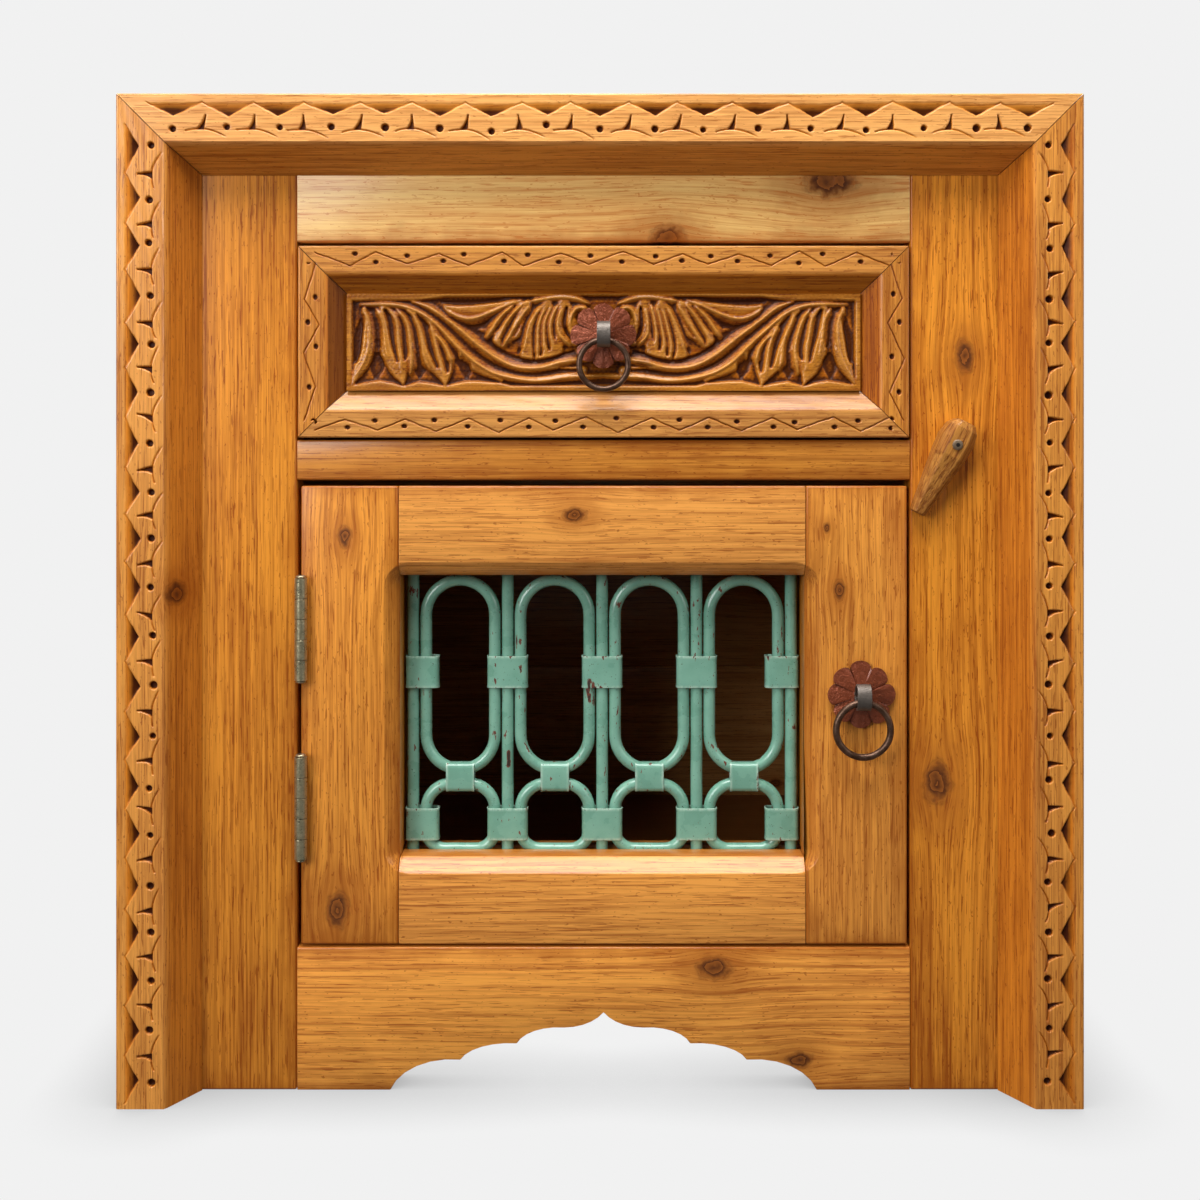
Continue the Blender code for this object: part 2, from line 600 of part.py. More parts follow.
def build_carcass():
    inner = WIDTH / 2 - SIDE_PANEL_THICKNESS
    add_board("side_panel_left", (LEFT, BOARD_FRONT, 0), (-inner, BOARD_BACK, CARCASS_TOP), HONEY_WOOD)
    add_board("side_panel_right", (inner, BOARD_FRONT, 0), (RIGHT, BOARD_BACK, CARCASS_TOP), HONEY_WOOD)
    add_board("top_board", (LEFT, BOARD_FRONT, HEIGHT - TOP_BOARD_THICKNESS), (RIGHT, BACK, HEIGHT),
              HONEY_WOOD)
    for name, top, thickness in (("floor_board", FLOOR_BOARD_TOP, FLOOR_BOARD_THICKNESS),
                                 ("drawer_shelf", SHELF_TOP, SHELF_THICKNESS)):
        add_board(name, (-inner + FIT_GAP, BOARD_FRONT, top - thickness),
                  (inner - FIT_GAP, BOARD_BACK, top), INNER_WOOD)
    plank = (CARCASS_TOP - BACK_BOTTOM - BACK_PLANK_GAP * (BACK_PLANK_COUNT - 1)) / BACK_PLANK_COUNT
    for index in range(BACK_PLANK_COUNT):
        bottom = BACK_BOTTOM + index * (plank + BACK_PLANK_GAP)
        add_board(f"back_plank_{index + 1}", (LEFT, BOARD_BACK + FIT_GAP, bottom),
                  (RIGHT, BACK, bottom + plank), INNER_WOOD)
    guide_bottom = SHELF_TOP + FIT_GAP
    for side, low, high in (("left", OPENING_LEFT - DRAWER_GUIDE_WIDTH, OPENING_LEFT),
                            ("right", OPENING_RIGHT, OPENING_RIGHT + DRAWER_GUIDE_WIDTH)):
        add_board("drawer_guide_" + side, (low, BOARD_FRONT, guide_bottom),
                  (high, BOARD_BACK, guide_bottom + DRAWER_GUIDE_HEIGHT), INNER_WOOD)


def rounded_rect(half_width, half_height, radius, steps):
    """Corner arcs of a rectangle about the origin, anticlockwise from the lower right."""
    points = []
    for quarter, (sx, sz) in enumerate(((1, -1), (1, 1), (-1, 1), (-1, -1))):
        for step in range(steps + 1):
            angle = math.pi / 2 * (quarter - 1 + step / steps)
            points.append((sx * (half_width - radius) + radius * math.cos(angle),
                           sz * (half_height - radius) + radius * math.sin(angle)))
    return points


def window_chamfer():
    """The chamfer round the door's window, as one wedge that passes both of its ends."""
    half_width = (WINDOW_RIGHT - WINDOW_LEFT) / 2
    half_height = (WINDOW_TOP - WINDOW_BOTTOM) / 2
    overshoot = CHAMFER_BACK_RADIUS / 4
    taper = (CHAMFER_FRONT_RADIUS - CHAMFER_BACK_RADIUS) / DOOR_CHAMFER
    shape = bmesh.new()
    rings = []
    for depth in (-overshoot, DOOR_CHAMFER + overshoot):
        grow = DOOR_CHAMFER - depth
        radius = CHAMFER_BACK_RADIUS + taper * grow
        outline = rounded_rect(half_width + grow, half_height + grow, radius, 5)
        rings.append([shape.verts.new((x, depth, z)) for x, z in outline])
    for ring in rings:
        shape.faces.new(ring)
    count = len(rings[0])
    for index in range(count):
        after = (index + 1) % count
        shape.faces.new((rings[0][index], rings[0][after], rings[1][after], rings[1][index]))
    bmesh.ops.recalc_face_normals(shape, faces=shape.faces[:])
    return shape


def build_door_frame(pivot):
    stiles = {
        "left": add_board("door_stile_left", (DOOR_LEFT, FACE, DOOR_BOTTOM),
                          (WINDOW_LEFT, DOOR_BACK, DOOR_TOP), HONEY_WOOD, pivot),
        "right": add_board("door_stile_right", (WINDOW_RIGHT, FACE, DOOR_BOTTOM),
                           (DOOR_RIGHT, DOOR_BACK, DOOR_TOP), HONEY_WOOD, pivot),
    }
    left = WINDOW_LEFT + FIT_GAP
    right = WINDOW_RIGHT - FIT_GAP
    middle_y = (FACE + DOOR_BACK) / 2
    window = (WINDOW_LEFT + WINDOW_RIGHT) / 2, FACE, (WINDOW_BOTTOM + WINDOW_TOP) / 2
    chamfer = add_helper("window_chamfer", window_chamfer(), window, pivot)
    for name, bottom, top in (("door_rail_bottom", DOOR_BOTTOM, WINDOW_BOTTOM),
                              ("door_rail_top", WINDOW_TOP, DOOR_TOP)):
        outline = [(left, bottom), (right, bottom), (right, top), (left, top)]
        shape = tenoned_rail(outline, DOOR_THICKNESS, DOOR_TENON_LENGTH, DOOR_TENON_THICKNESS)
        rail = add_piece(name, shape, (0, middle_y, 0), PALE_WOOD, pivot)
        cut(rail, chamfer)
        for side, edge, direction in (("left", WINDOW_LEFT, -1), ("right", WINDOW_RIGHT, 1)):
            mortise(f"{name}_mortise_{side}", stiles[side], edge, direction, bottom, top, middle_y,
                    DOOR_TENON_LENGTH, DOOR_TENON_THICKNESS, pivot)
    for stile in stiles.values():
        cut(stile, chamfer)
    slot_staple(stiles["right"], "door_staple_slot", DOOR_STAPLE_WIDTH, DOOR_PULL_X, DOOR_PULL_Z,
                FACE, DOOR_BACK, pivot)


def build_beads(pivot):
    """Beads behind the window.  Those above and below have a rebate for the rod ends."""
    back = BEAD_FRONT + BEAD_DEPTH
    wall = back - BEAD_WALL
    outer_left = WINDOW_LEFT - BEAD_WIDTH
    outer_right = WINDOW_RIGHT + BEAD_WIDTH
    pocket = ROD_INSERTION + ROD_END_ROOM
    for name, edge, outward in (("bottom", WINDOW_BOTTOM, -1), ("top", WINDOW_TOP, 1)):
        outer = edge + outward * BEAD_WIDTH
        floor = edge + outward * pocket
        outline = [(BEAD_FRONT, floor), (wall, floor), (wall, edge), (back, edge), (back, outer),
                   (BEAD_FRONT, outer)]
        add_piece("grille_bead_" + name, prism(outline, 'X', outer_left, outer_right), (0, 0, 0),
                  HONEY_WOOD, pivot)
    for name, low, high in (("left", outer_left, WINDOW_LEFT), ("right", WINDOW_RIGHT, outer_right)):
        add_board("grille_bead_" + name, (low, BEAD_FRONT, WINDOW_BOTTOM + FIT_GAP),
                  (high, back, WINDOW_TOP - FIT_GAP), HONEY_WOOD, pivot)


def loop_path(middle_x, bottom, top, bottom_radius, top_radius, steps):
    """Centre line of a closed loop of rod with rounded corners, in the grille's plane."""
    points = []
    for quarter, (side, level) in enumerate(((1, -1), (1, 1), (-1, 1), (-1, -1))):
        radius = top_radius if level > 0 else bottom_radius
        centre_z = top - radius if level > 0 else bottom + radius
        centre_x = middle_x + side * (LOOP_HALF_WIDTH - radius)
        for step in range(steps + 1):
            angle = math.pi / 2 * (quarter - 1 + step / steps)
            point = Vector((centre_x + radius * math.cos(angle), GRILLE_PLANE,
                            centre_z + radius * math.sin(angle)))
            if not points or (point - points[-1]).length > CUT_OVERSHOOT:
                points.append(point)
    if (points[0] - points[-1]).length < CUT_OVERSHOOT:
        points.pop()
    return points


def closed_rod(shape, path, radius):
    """Add a rod of round section that follows a closed path in the grille's plane."""
    rings = []
    across = Vector((0, 1, 0))
    for index, centre in enumerate(path):
        along = (path[(index + 1) % len(path)] - path[index - 1]).normalized()
        outward = along.cross(across)
        ring = []
        for side in range(ROD_SIDES):
            angle = math.tau * side / ROD_SIDES
            ring.append(shape.verts.new(centre + radius * (math.cos(angle) * outward
                                                           + math.sin(angle) * across)))
        rings.append(ring)
    for ring, following in zip(rings, rings[1:] + rings[:1]):
        for side in range(ROD_SIDES):
            after = (side + 1) % ROD_SIDES
            shape.faces.new((ring[side], ring[after], following[after], following[side]))
    bmesh.ops.recalc_face_normals(shape, faces=shape.faces[:])


def loop_rods(middle_x, radius, tall=True, short=True):
    shape = bmesh.new()
    if tall:
        path = loop_path(middle_x, TALL_LOOP_BOTTOM, TALL_LOOP_TOP, LOOP_HALF_WIDTH, LOOP_HALF_WIDTH, 6)
        closed_rod(shape, path, radius)
    if short:
        path = loop_path(middle_x, SHORT_LOOP_BOTTOM, SHORT_LOOP_TOP, SHORT_LOOP_BOTTOM_RADIUS,
                         SHORT_LOOP_TOP_RADIUS, 4)
        closed_rod(shape, path, radius)
    return shape


def strap(low, high, along):
    """A strap wound round rods that run along an axis: a block with rounded corners."""
    shape, middle = block(low, high)
    ease(shape, STRAP_CORNER, along, segments=2)
    return shape, middle


def build_grille(pivot):
    front = GRILLE_PLANE - STRAP_REACH
    back = GRILLE_PLANE + STRAP_REACH
    clearances = []
    for index in range(UPRIGHT_COUNT - 1):
        number = index + 1
        middle_x = FIRST_UPRIGHT + UPRIGHT_PITCH * (index + 0.5)
        low = (middle_x - JOINT_COLLAR_WIDTH / 2, front, SHORT_LOOP_TOP - STRAP_REACH)
        high = (middle_x + JOINT_COLLAR_WIDTH / 2, back, TALL_LOOP_BOTTOM + STRAP_REACH)
        collar, place = strap(low, high, 'X')
        pair = add_piece(f"loop_pair_{number}", collar, place, GREEN_PAINT, pivot, smooth=True)
        tall = loop_rods(middle_x, ROD_RADIUS, short=False)
        join(pair, add_helper(f"tall_loop_{number}", tall, (0, 0, 0), pivot))
        short = loop_rods(middle_x, ROD_RADIUS, tall=False)
        join(pair, add_helper(f"short_loop_{number}", short, (0, 0, 0), pivot))
        room = loop_rods(middle_x, ROD_RADIUS + FIT_GAP)
        clearances.append(add_helper(f"loop_room_{number}", room, (0, 0, 0), pivot))

    for index in range(UPRIGHT_COUNT):
        number = index + 1
        x = FIRST_UPRIGHT + UPRIGHT_PITCH * index
        rod = cylinder(ROD_RADIUS, WINDOW_BOTTOM - ROD_INSERTION, WINDOW_TOP + ROD_INSERTION, 2 * ROD_SIDES)
        upright = add_piece(f"upright_{number}", rod, (x, GRILLE_PLANE, 0), GREEN_PAINT, pivot, smooth=True)
        left_reach = right_reach = LEG_OFFSET + STRAP_REACH
        if index == 0:
            left_reach, right_reach = STRAP_REACH, END_COLLAR_WIDTH - STRAP_REACH
        if index == UPRIGHT_COUNT - 1:
            left_reach, right_reach = END_COLLAR_WIDTH - STRAP_REACH, STRAP_REACH
        for level, rise in (("middle", MIDDLE_COLLAR_RISE), ("bottom", BOTTOM_COLLAR_RISE)):
            z = WINDOW_BOTTOM + rise
            shape, place = strap((x - left_reach, front, z - COLLAR_HEIGHT / 2),
                                 (x + right_reach, back, z + COLLAR_HEIGHT / 2), 'Z')
            join(upright, add_helper(f"{level}_collar_{number}", shape, place, pivot))
        for neighbour in (index - 1, index):
            if 0 <= neighbour < len(clearances):
                cut(upright, clearances[neighbour])


def build_drawer(slide):
    rect = (DRAWER_LEFT, DRAWER_RIGHT, DRAWER_BOTTOM, DRAWER_TOP)
    bevel_foot = DRAWER_STRIP_FRONT + DRAWER_BEVEL_DEPTH
    profile = [(0.0, DRAWER_STRIP_FRONT), (DRAWER_STRIP_WIDTH, DRAWER_STRIP_FRONT),
               (DRAWER_MOULDING_WIDTH, bevel_foot), (DRAWER_MOULDING_WIDTH, DRAWER_STRIP_BACK),
               (0.0, DRAWER_STRIP_BACK)]
    for side in ("top", "bottom", "left", "right"):
        add_piece("drawer_moulding_" + side, mitred_member(rect, side, profile), (0, 0, 0), HONEY_WOOD,
                  slide)

    inset = DRAWER_MOULDING_WIDTH + FIT_GAP
    shape, middle = block((DRAWER_LEFT + inset, CARVED_GROUND, DRAWER_BOTTOM + inset),
                          (DRAWER_RIGHT - inset, DRAWER_STRIP_BACK, DRAWER_TOP - inset))
    panel = add_piece("carved_panel", shape, middle, BROWN_WOOD, slide)
    boss = face_forward(cylinder(CARVED_BOSS_DIAMETER / 2, -CARVED_GROUND_THICKNESS / 2, CARVED_BOSS_HEIGHT,
                                 2 * ROUND_SIDES))
    join(panel, add_helper("carved_boss", boss, (DRAWER_PULL_X, CARVED_GROUND, DRAWER_PULL_Z), slide))
    board = add_board("drawer_front_board", (DRAWER_LEFT, DRAWER_BOARD_FRONT, DRAWER_BOTTOM),
                      (DRAWER_RIGHT, DRAWER_BOARD_BACK, DRAWER_TOP), INNER_WOOD, slide)
    for piece in (panel, board):
        slot_staple(piece, piece.name + "_staple_slot", DRAWER_STAPLE_WIDTH, DRAWER_PULL_X, DRAWER_PULL_Z,
                    CARVED_BOSS_FRONT, DRAWER_BOARD_BACK, slide)

    groove_low = DRAWER_BOX_BOTTOM + DRAWER_GROOVE_RISE
    groove_high = groove_low + DRAWER_BOTTOM_THICKNESS + 2 * FIT_GAP
    for name, outer, inward in (("left", DRAWER_BOX_LEFT, 1), ("right", DRAWER_BOX_RIGHT, -1)):
        inner = outer + inward * DRAWER_SIDE_THICKNESS
        floor = inner - inward * DRAWER_GROOVE_DEPTH
        outline = [(outer, DRAWER_BOX_BOTTOM), (inner, DRAWER_BOX_BOTTOM), (inner, groove_low),
                   (floor, groove_low), (floor, groove_high), (inner, groove_high),
                   (inner, DRAWER_BOX_TOP), (outer, DRAWER_BOX_TOP)]
        add_piece("drawer_side_" + name, prism(outline, 'Y', DRAWER_BOX_FRONT, DRAWER_BOX_BACK), (0, 0, 0),
                  INNER_WOOD, slide)
    inner_left = DRAWER_BOX_LEFT + DRAWER_SIDE_THICKNESS
    inner_right = DRAWER_BOX_RIGHT - DRAWER_SIDE_THICKNESS
    bottom_low = groove_low + FIT_GAP
    bottom_high = bottom_low + DRAWER_BOTTOM_THICKNESS
    tongue = DRAWER_GROOVE_DEPTH - FIT_GAP
    add_board("drawer_bottom", (inner_left - tongue, DRAWER_BOX_FRONT, bottom_low),
              (inner_right + tongue, DRAWER_BOX_BACK, bottom_high), INNER_WOOD, slide)
    add_board("drawer_back", (inner_left + FIT_GAP, DRAWER_BOX_BACK - DRAWER_SIDE_THICKNESS, bottom_high + FIT_GAP),
              (inner_right - FIT_GAP, DRAWER_BOX_BACK, DRAWER_BOX_TOP), INNER_WOOD, slide)


def knuckle_spans(bottom):
    step = HINGE_LENGTH / HINGE_KNUCKLES
    return [(bottom + step * k + FIT_GAP / 2, bottom + step * (k + 1) - FIT_GAP / 2)
            for k in range(HINGE_KNUCKLES)]


def hinge_leaf(spans, own, low_x, tab_y):
    """A thin leaf, as a comb whose teeth reach forward to its own knuckles."""
    plate_front = FACE + FIT_GAP
    plate_back = FACE + HINGE_LEAF_WIDTH
    outline = [(plate_back, spans[0][0]), (plate_back, spans[-1][1])]
    for index in range(HINGE_KNUCKLES - 1, -1, -1):
        low, high = spans[index]
        if index in own:
            outline += [(plate_front, high), (tab_y, high), (tab_y, low), (plate_front, low)]
    if outline[-1] != (plate_front, spans[0][0]):
        outline.append((plate_front, spans[0][0]))
    if outline[2] != (plate_front, spans[-1][1]):
        outline.insert(2, (plate_front, spans[-1][1]))
    return prism(outline, 'X', low_x, low_x + HINGE_LEAF_THICKNESS)


def knuckles(spans, own):
    shape = bmesh.new()
    for index in own:
        low, high = spans[index]
        ring = turn([(HINGE_BORE_RADIUS, low), (HINGE_RADIUS, low), (HINGE_RADIUS, high),
                     (HINGE_BORE_RADIUS, high), (HINGE_BORE_RADIUS, low)])
        spare = bpy.data.meshes.new("knuckle")
        ring.to_mesh(spare)
        ring.free()
        shape.from_mesh(spare)
        bpy.data.meshes.remove(spare)
    return shape


def build_hinge(name, bottom, pivot):
    spans = knuckle_spans(bottom)
    fixed = range(0, HINGE_KNUCKLES, 2)
    moving = range(1, HINGE_KNUCKLES, 2)
    space = (DOOR_HINGE_GAP - 2 * HINGE_LEAF_THICKNESS) / 3
    wall_middle = (HINGE_BORE_RADIUS + HINGE_RADIUS) / 2
    leaves = (("fixed", fixed, OPENING_LEFT + space, None),
              ("moving", moving, DOOR_LEFT - space - HINGE_LEAF_THICKNESS, pivot))
    for kind, own, low_x, parent in leaves:
        # Each tooth ends inside the wall of its knuckle
        aside = HINGE_X - low_x - HINGE_LEAF_THICKNESS / 2
        tab_y = HINGE_Y + math.sqrt(max(wall_middle ** 2 - aside ** 2, 0.0))
        shape = hinge_leaf(spans, own, low_x, tab_y)
        leaf = add_piece(f"hinge_leaf_{kind}_{name}", shape, (0, 0, 0), WORN_STEEL, parent, smooth=True)
        barrel = add_helper(f"knuckles_{kind}_{name}", knuckles(spans, own), (HINGE_X, HINGE_Y, 0), parent)
        join(leaf, barrel)
    low = bottom - FIT_GAP
    high = bottom + HINGE_LENGTH + FIT_GAP
    head = HINGE_PIN_HEAD_DIAMETER / 2
    dome = HINGE_PIN_HEAD_HEIGHT
    pin = turn([(0.0, low - dome), (head * 0.7, low - dome), (head, low - dome / 2), (head, low),
                (HINGE_PIN_DIAMETER / 2, low), (HINGE_PIN_DIAMETER / 2, high), (head, high),
                (head, high + dome / 2), (head * 0.7, high + dome), (0.0, high + dome)])
    add_piece("hinge_pin_" + name, pin, (HINGE_X, HINGE_Y, 0), WORN_STEEL, smooth=True)


def slot_staple(piece, name, width, x, z, front, back, parent):
    """Cut the slot through which a staple's two legs pass."""
    reach_x = width / 2 + FIT_GAP
    reach_z = STAPLE_LEG_GAP / 2 + STAPLE_THICKNESS + FIT_GAP
    overshoot = STAPLE_CLINCH
    low = (x - reach_x, front - overshoot, z - reach_z)
    high = (x + reach_x, back + overshoot, z + reach_z)
    cut(piece, add_block_helper(name, low, high, parent))


def rosette(diameter):
    """A thin domed plate with a petalled edge, along +Z, its rim at height 0."""
    shape = bmesh.new()
    around = 8 * PETAL_COUNT
    rings = 4
    centre = shape.verts.new((0, 0, ROSETTE_DOME))
    rows = []
    for ring in range(1, rings + 1):
        share = ring / rings
        row = []
        for step in range(around):
            angle = math.tau * step / around
            petal = math.sqrt(abs(math.cos(angle * PETAL_COUNT / 2)))
            radius = diameter / 2 * share * (1 - PETAL_NOTCH * share ** 2 * (1 - petal))
            row.append(shape.verts.new((radius * math.cos(angle), radius * math.sin(angle),
                                        ROSETTE_DOME * (1 - share ** 2))))
        rows.append(row)
    for step in range(around):
        after = (step + 1) % around
        shape.faces.new((centre, rows[0][step], rows[0][after]))
        for inner, outer in zip(rows, rows[1:]):
            shape.faces.new((inner[step], outer[step], outer[after], inner[after]))
    bmesh.ops.recalc_face_normals(shape, faces=shape.faces[:])
    top = bmesh.ops.extrude_face_region(shape, geom=shape.faces[:])["geom"]
    raised = [item for item in top if isinstance(item, bmesh.types.BMVert)]
    bmesh.ops.translate(shape, vec=(0, 0, ROSETTE_THICKNESS), verts=raised)
    bmesh.ops.recalc_face_normals(shape, faces=shape.faces[:])
    return shape


def eye_arc(depth, height, opening, steps=14):
    """Points of an oval eye, from the leg above its opening round the front to the leg below."""
    first = math.asin(opening / (height / 2))
    points = []
    for step in range(steps + 1):
        angle = first + (math.tau - 2 * first) * step / steps
        points.append((depth / 2 * math.cos(angle), height / 2 * math.sin(angle)))
    return points


def staple(width, eye_back, clinch_y):
    """A strap bent into an eye, with two legs through the wood that are clinched behind it.

    The eye's middle is at the origin; eye_back and clinch_y are measured from it.
    """
    inner_gap = STAPLE_LEG_GAP / 2
    outer_gap = inner_gap + STAPLE_THICKNESS
    outer = eye_arc(STAPLE_EYE_DEPTH, STAPLE_EYE_HEIGHT, outer_gap)
    inner = eye_arc(STAPLE_EYE_DEPTH - 2 * STAPLE_THICKNESS, STAPLE_EYE_HEIGHT - 2 * STAPLE_THICKNESS,
                    inner_gap)
    behind = clinch_y + STAPLE_THICKNESS
    outline = outer + [(clinch_y, -outer_gap), (clinch_y, -STAPLE_CLINCH), (behind, -STAPLE_CLINCH),
                       (behind, -inner_gap)]
    outline += inner[::-1] + [(behind, inner_gap), (behind, STAPLE_CLINCH), (clinch_y, STAPLE_CLINCH),
                              (clinch_y, outer_gap)]
    return prism(outline, 'X', -width / 2, width / 2)


def torus(diameter, bar):
    """A ring in the XZ plane that hangs from the origin by the middle of its bar."""
    sides = 10
    shape = bmesh.new()
    section = []
    for side in range(sides):
        angle = math.tau * side / sides
        section.append(shape.verts.new((0, bar / 2 * math.sin(angle), bar / 2 * math.cos(angle))))
    edges = [shape.edges.new((section[side], section[(side + 1) % sides])) for side in range(sides)]
    bmesh.ops.spin(shape, geom=section + edges, cent=(0, 0, -diameter / 2), axis=(0, 1, 0), dvec=(0, 0, 0),
                   angle=math.tau, steps=2 * ROUND_SIDES, use_merge=True)
    bmesh.ops.remove_doubles(shape, verts=shape.verts[:], dist=CUT_OVERSHOOT / 10)
    return shape


def ring_axis(eye_z, width, ring_diameter, bar):
    """Height at which a ring turns in its staple: its bar just clears the strap's edges."""
    radius = ring_diameter / 2
    droop = radius - math.sqrt(radius ** 2 - (width / 2) ** 2)
    eye_floor = eye_z - STAPLE_EYE_HEIGHT / 2 + STAPLE_THICKNESS
    return eye_floor + bar / 2 + droop + RING_PLAY


def build_pull(name, x, z, seat, wood_back, sizes, parent):
    """A rosette on the seat plane, the staple through it, and the ring on its own pivot."""
    rosette_diameter, width, ring_diameter, bar = sizes
    plate_back = seat - FIT_GAP
    plate = add_piece(name + "_rosette", face_forward(rosette(rosette_diameter)), (x, plate_back, z),
                      OXIDE_IRON, parent, smooth=True)
    eye_y = plate_back - ROSETTE_DOME - ROSETTE_THICKNESS - FIT_GAP - STAPLE_EYE_DEPTH / 2
    slot_staple(plate, name + "_rosette_slot", width, x, z, eye_y, wood_back, parent)
    eye_back = plate_back - eye_y
    clinch_y = wood_back + FIT_GAP - eye_y
    add_piece(name + "_staple", staple(width, eye_back, clinch_y), (x, eye_y, z), WORN_STEEL, parent,
              smooth=True)
    axis_z = ring_axis(z, width, ring_diameter, bar)
    pivot = add_pivot(name + "_ring_pivot", (x, eye_y, axis_z), parent)
    add_piece(name + "_ring", torus(ring_diameter, bar), (x, eye_y, axis_z), DARK_IRON, pivot, smooth=True)


def latch_section(x, half_width, thickness):
    """Six corners round the button: flat at the back, with broad chamfers on the front."""
    chamfer = min(half_width * 0.45, thickness * 0.4)
    return [(x, 0.0, -half_width), (x, 0.0, half_width), (x, chamfer - thickness, half_width),
            (x, -thickness, half_width - chamfer), (x, -thickness, chamfer - half_width),
            (x, chamfer - thickness, -half_width)]


def latch_body():
    """The turn button about its pivot, pointing along +X, its back at y = 0."""
    head = LATCH_HEAD_WIDTH / 2
    tip = LATCH_TIP_WIDTH / 2
    sections = ((-LATCH_HEAD_LENGTH, head * 0.55, LATCH_HEAD_THICKNESS * 0.86),
                (-LATCH_HEAD_LENGTH * 0.72, head * 0.86, LATCH_HEAD_THICKNESS * 0.97),
                (-LATCH_HEAD_LENGTH * 0.2, head, LATCH_HEAD_THICKNESS),
                (LATCH_HEAD_LENGTH * 0.5, head * 0.92, LATCH_HEAD_THICKNESS),
                (LATCH_LENGTH, tip, LATCH_TIP_THICKNESS))
    shape = bmesh.new()
    rings = [[shape.verts.new(point) for point in latch_section(*section)] for section in sections]
    shape.faces.new(rings[0])
    shape.faces.new(rings[-1])
    for ring, following in zip(rings, rings[1:]):
        for corner in range(len(ring)):
            after = (corner + 1) % len(ring)
            shape.faces.new((ring[corner], ring[after], following[after], following[corner]))
    bmesh.ops.recalc_face_normals(shape, faces=shape.faces[:])
    return shape


def build_latch():
    pivot = add_pivot("latch_pivot", (LATCH_X, LATCH_BACK, LATCH_Z))
    button = add_piece("latch", latch_body(), (LATCH_X, LATCH_BACK, LATCH_Z), HONEY_WOOD, pivot)
    button.rotation_euler = (0.0, math.pi - LATCH_REST_DROP, 0.0)
    hole = face_forward(cylinder(SCREW_DIAMETER / 2 + FIT_GAP, -FIT_GAP, LATCH_HEAD_THICKNESS + FIT_GAP))
    cut(button, add_helper("latch_hole", hole, (LATCH_X, LATCH_BACK, LATCH_Z), pivot))
    under_head = LATCH_HEAD_THICKNESS + FIT_GAP
    head = SCREW_HEAD_DIAMETER / 2
    bottom = -SCREW_BITE - LATCH_BACK_GAP + FIT_GAP
    screw = turn([(0.0, bottom), (SCREW_DIAMETER / 2, bottom), (SCREW_DIAMETER / 2, under_head),
                  (head, under_head), (head * 0.8, under_head + SCREW_HEAD_HEIGHT * 0.7),
                  (0.0, under_head + SCREW_HEAD_HEIGHT)])
    add_piece("latch_screw", face_forward(screw), (LATCH_X, LATCH_BACK, LATCH_Z), DARK_IRON, smooth=True)


def main():
    clear_scene()
    build_face_frame()
    build_outer_moulding()
    build_carcass()
    door = add_pivot("door_pivot", (HINGE_X, HINGE_Y, 0))
    build_door_frame(door)
    build_beads(door)
    build_grille(door)
    build_hinge("upper", DOOR_TOP - UPPER_HINGE_DROP - HINGE_LENGTH / 2, door)
    build_hinge("lower", DOOR_BOTTOM + LOWER_HINGE_RISE - HINGE_LENGTH / 2, door)
    build_pull("door", DOOR_PULL_X, DOOR_PULL_Z, FACE, DOOR_BACK,
               (DOOR_ROSETTE_DIAMETER, DOOR_STAPLE_WIDTH, DOOR_RING_DIAMETER, DOOR_RING_BAR), door)
    slide = add_pivot("drawer_slide", (DRAWER_PULL_X, DRAWER_STRIP_FRONT, DRAWER_PULL_Z))
    build_drawer(slide)
    build_pull("drawer", DRAWER_PULL_X, DRAWER_PULL_Z, CARVED_BOSS_FRONT, DRAWER_BOARD_BACK,
               (DRAWER_ROSETTE_DIAMETER, DRAWER_STAPLE_WIDTH, DRAWER_RING_DIAMETER, DRAWER_RING_BAR), slide)
    build_latch()


main()
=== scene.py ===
import json
import math
import random
from functools import partial

import bmesh
import bpy
import numpy as np
from mathutils import Matrix, Vector, noise


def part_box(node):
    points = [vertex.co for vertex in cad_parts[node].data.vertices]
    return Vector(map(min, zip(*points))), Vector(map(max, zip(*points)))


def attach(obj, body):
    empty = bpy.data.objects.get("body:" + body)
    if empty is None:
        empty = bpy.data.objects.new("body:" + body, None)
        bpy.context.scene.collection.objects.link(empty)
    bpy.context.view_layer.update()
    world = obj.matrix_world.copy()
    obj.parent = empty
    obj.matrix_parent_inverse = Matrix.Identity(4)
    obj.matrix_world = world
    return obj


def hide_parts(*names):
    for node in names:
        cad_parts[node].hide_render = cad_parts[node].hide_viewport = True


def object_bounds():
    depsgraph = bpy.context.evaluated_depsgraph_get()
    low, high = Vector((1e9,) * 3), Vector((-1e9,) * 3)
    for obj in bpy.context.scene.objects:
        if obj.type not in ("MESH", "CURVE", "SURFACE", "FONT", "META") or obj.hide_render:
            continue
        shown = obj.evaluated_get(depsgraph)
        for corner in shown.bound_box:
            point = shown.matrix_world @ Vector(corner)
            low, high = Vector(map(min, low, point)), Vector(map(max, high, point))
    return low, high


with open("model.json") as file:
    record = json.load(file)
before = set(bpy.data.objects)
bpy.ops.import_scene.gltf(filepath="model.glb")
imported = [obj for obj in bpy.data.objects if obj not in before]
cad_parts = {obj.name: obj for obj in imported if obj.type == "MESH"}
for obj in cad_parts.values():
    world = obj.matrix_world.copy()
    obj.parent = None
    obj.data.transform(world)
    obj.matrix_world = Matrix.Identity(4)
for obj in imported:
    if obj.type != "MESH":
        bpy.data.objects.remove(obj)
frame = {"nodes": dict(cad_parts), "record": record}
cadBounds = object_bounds()
nodes = frame["nodes"]
record = frame["record"]
bodyOfNode = {node: body for body, members in record["behaviour"]["bodies"].items() for node in members}
mm = 0.001
print("frame loaded:", len(nodes), "nodes")


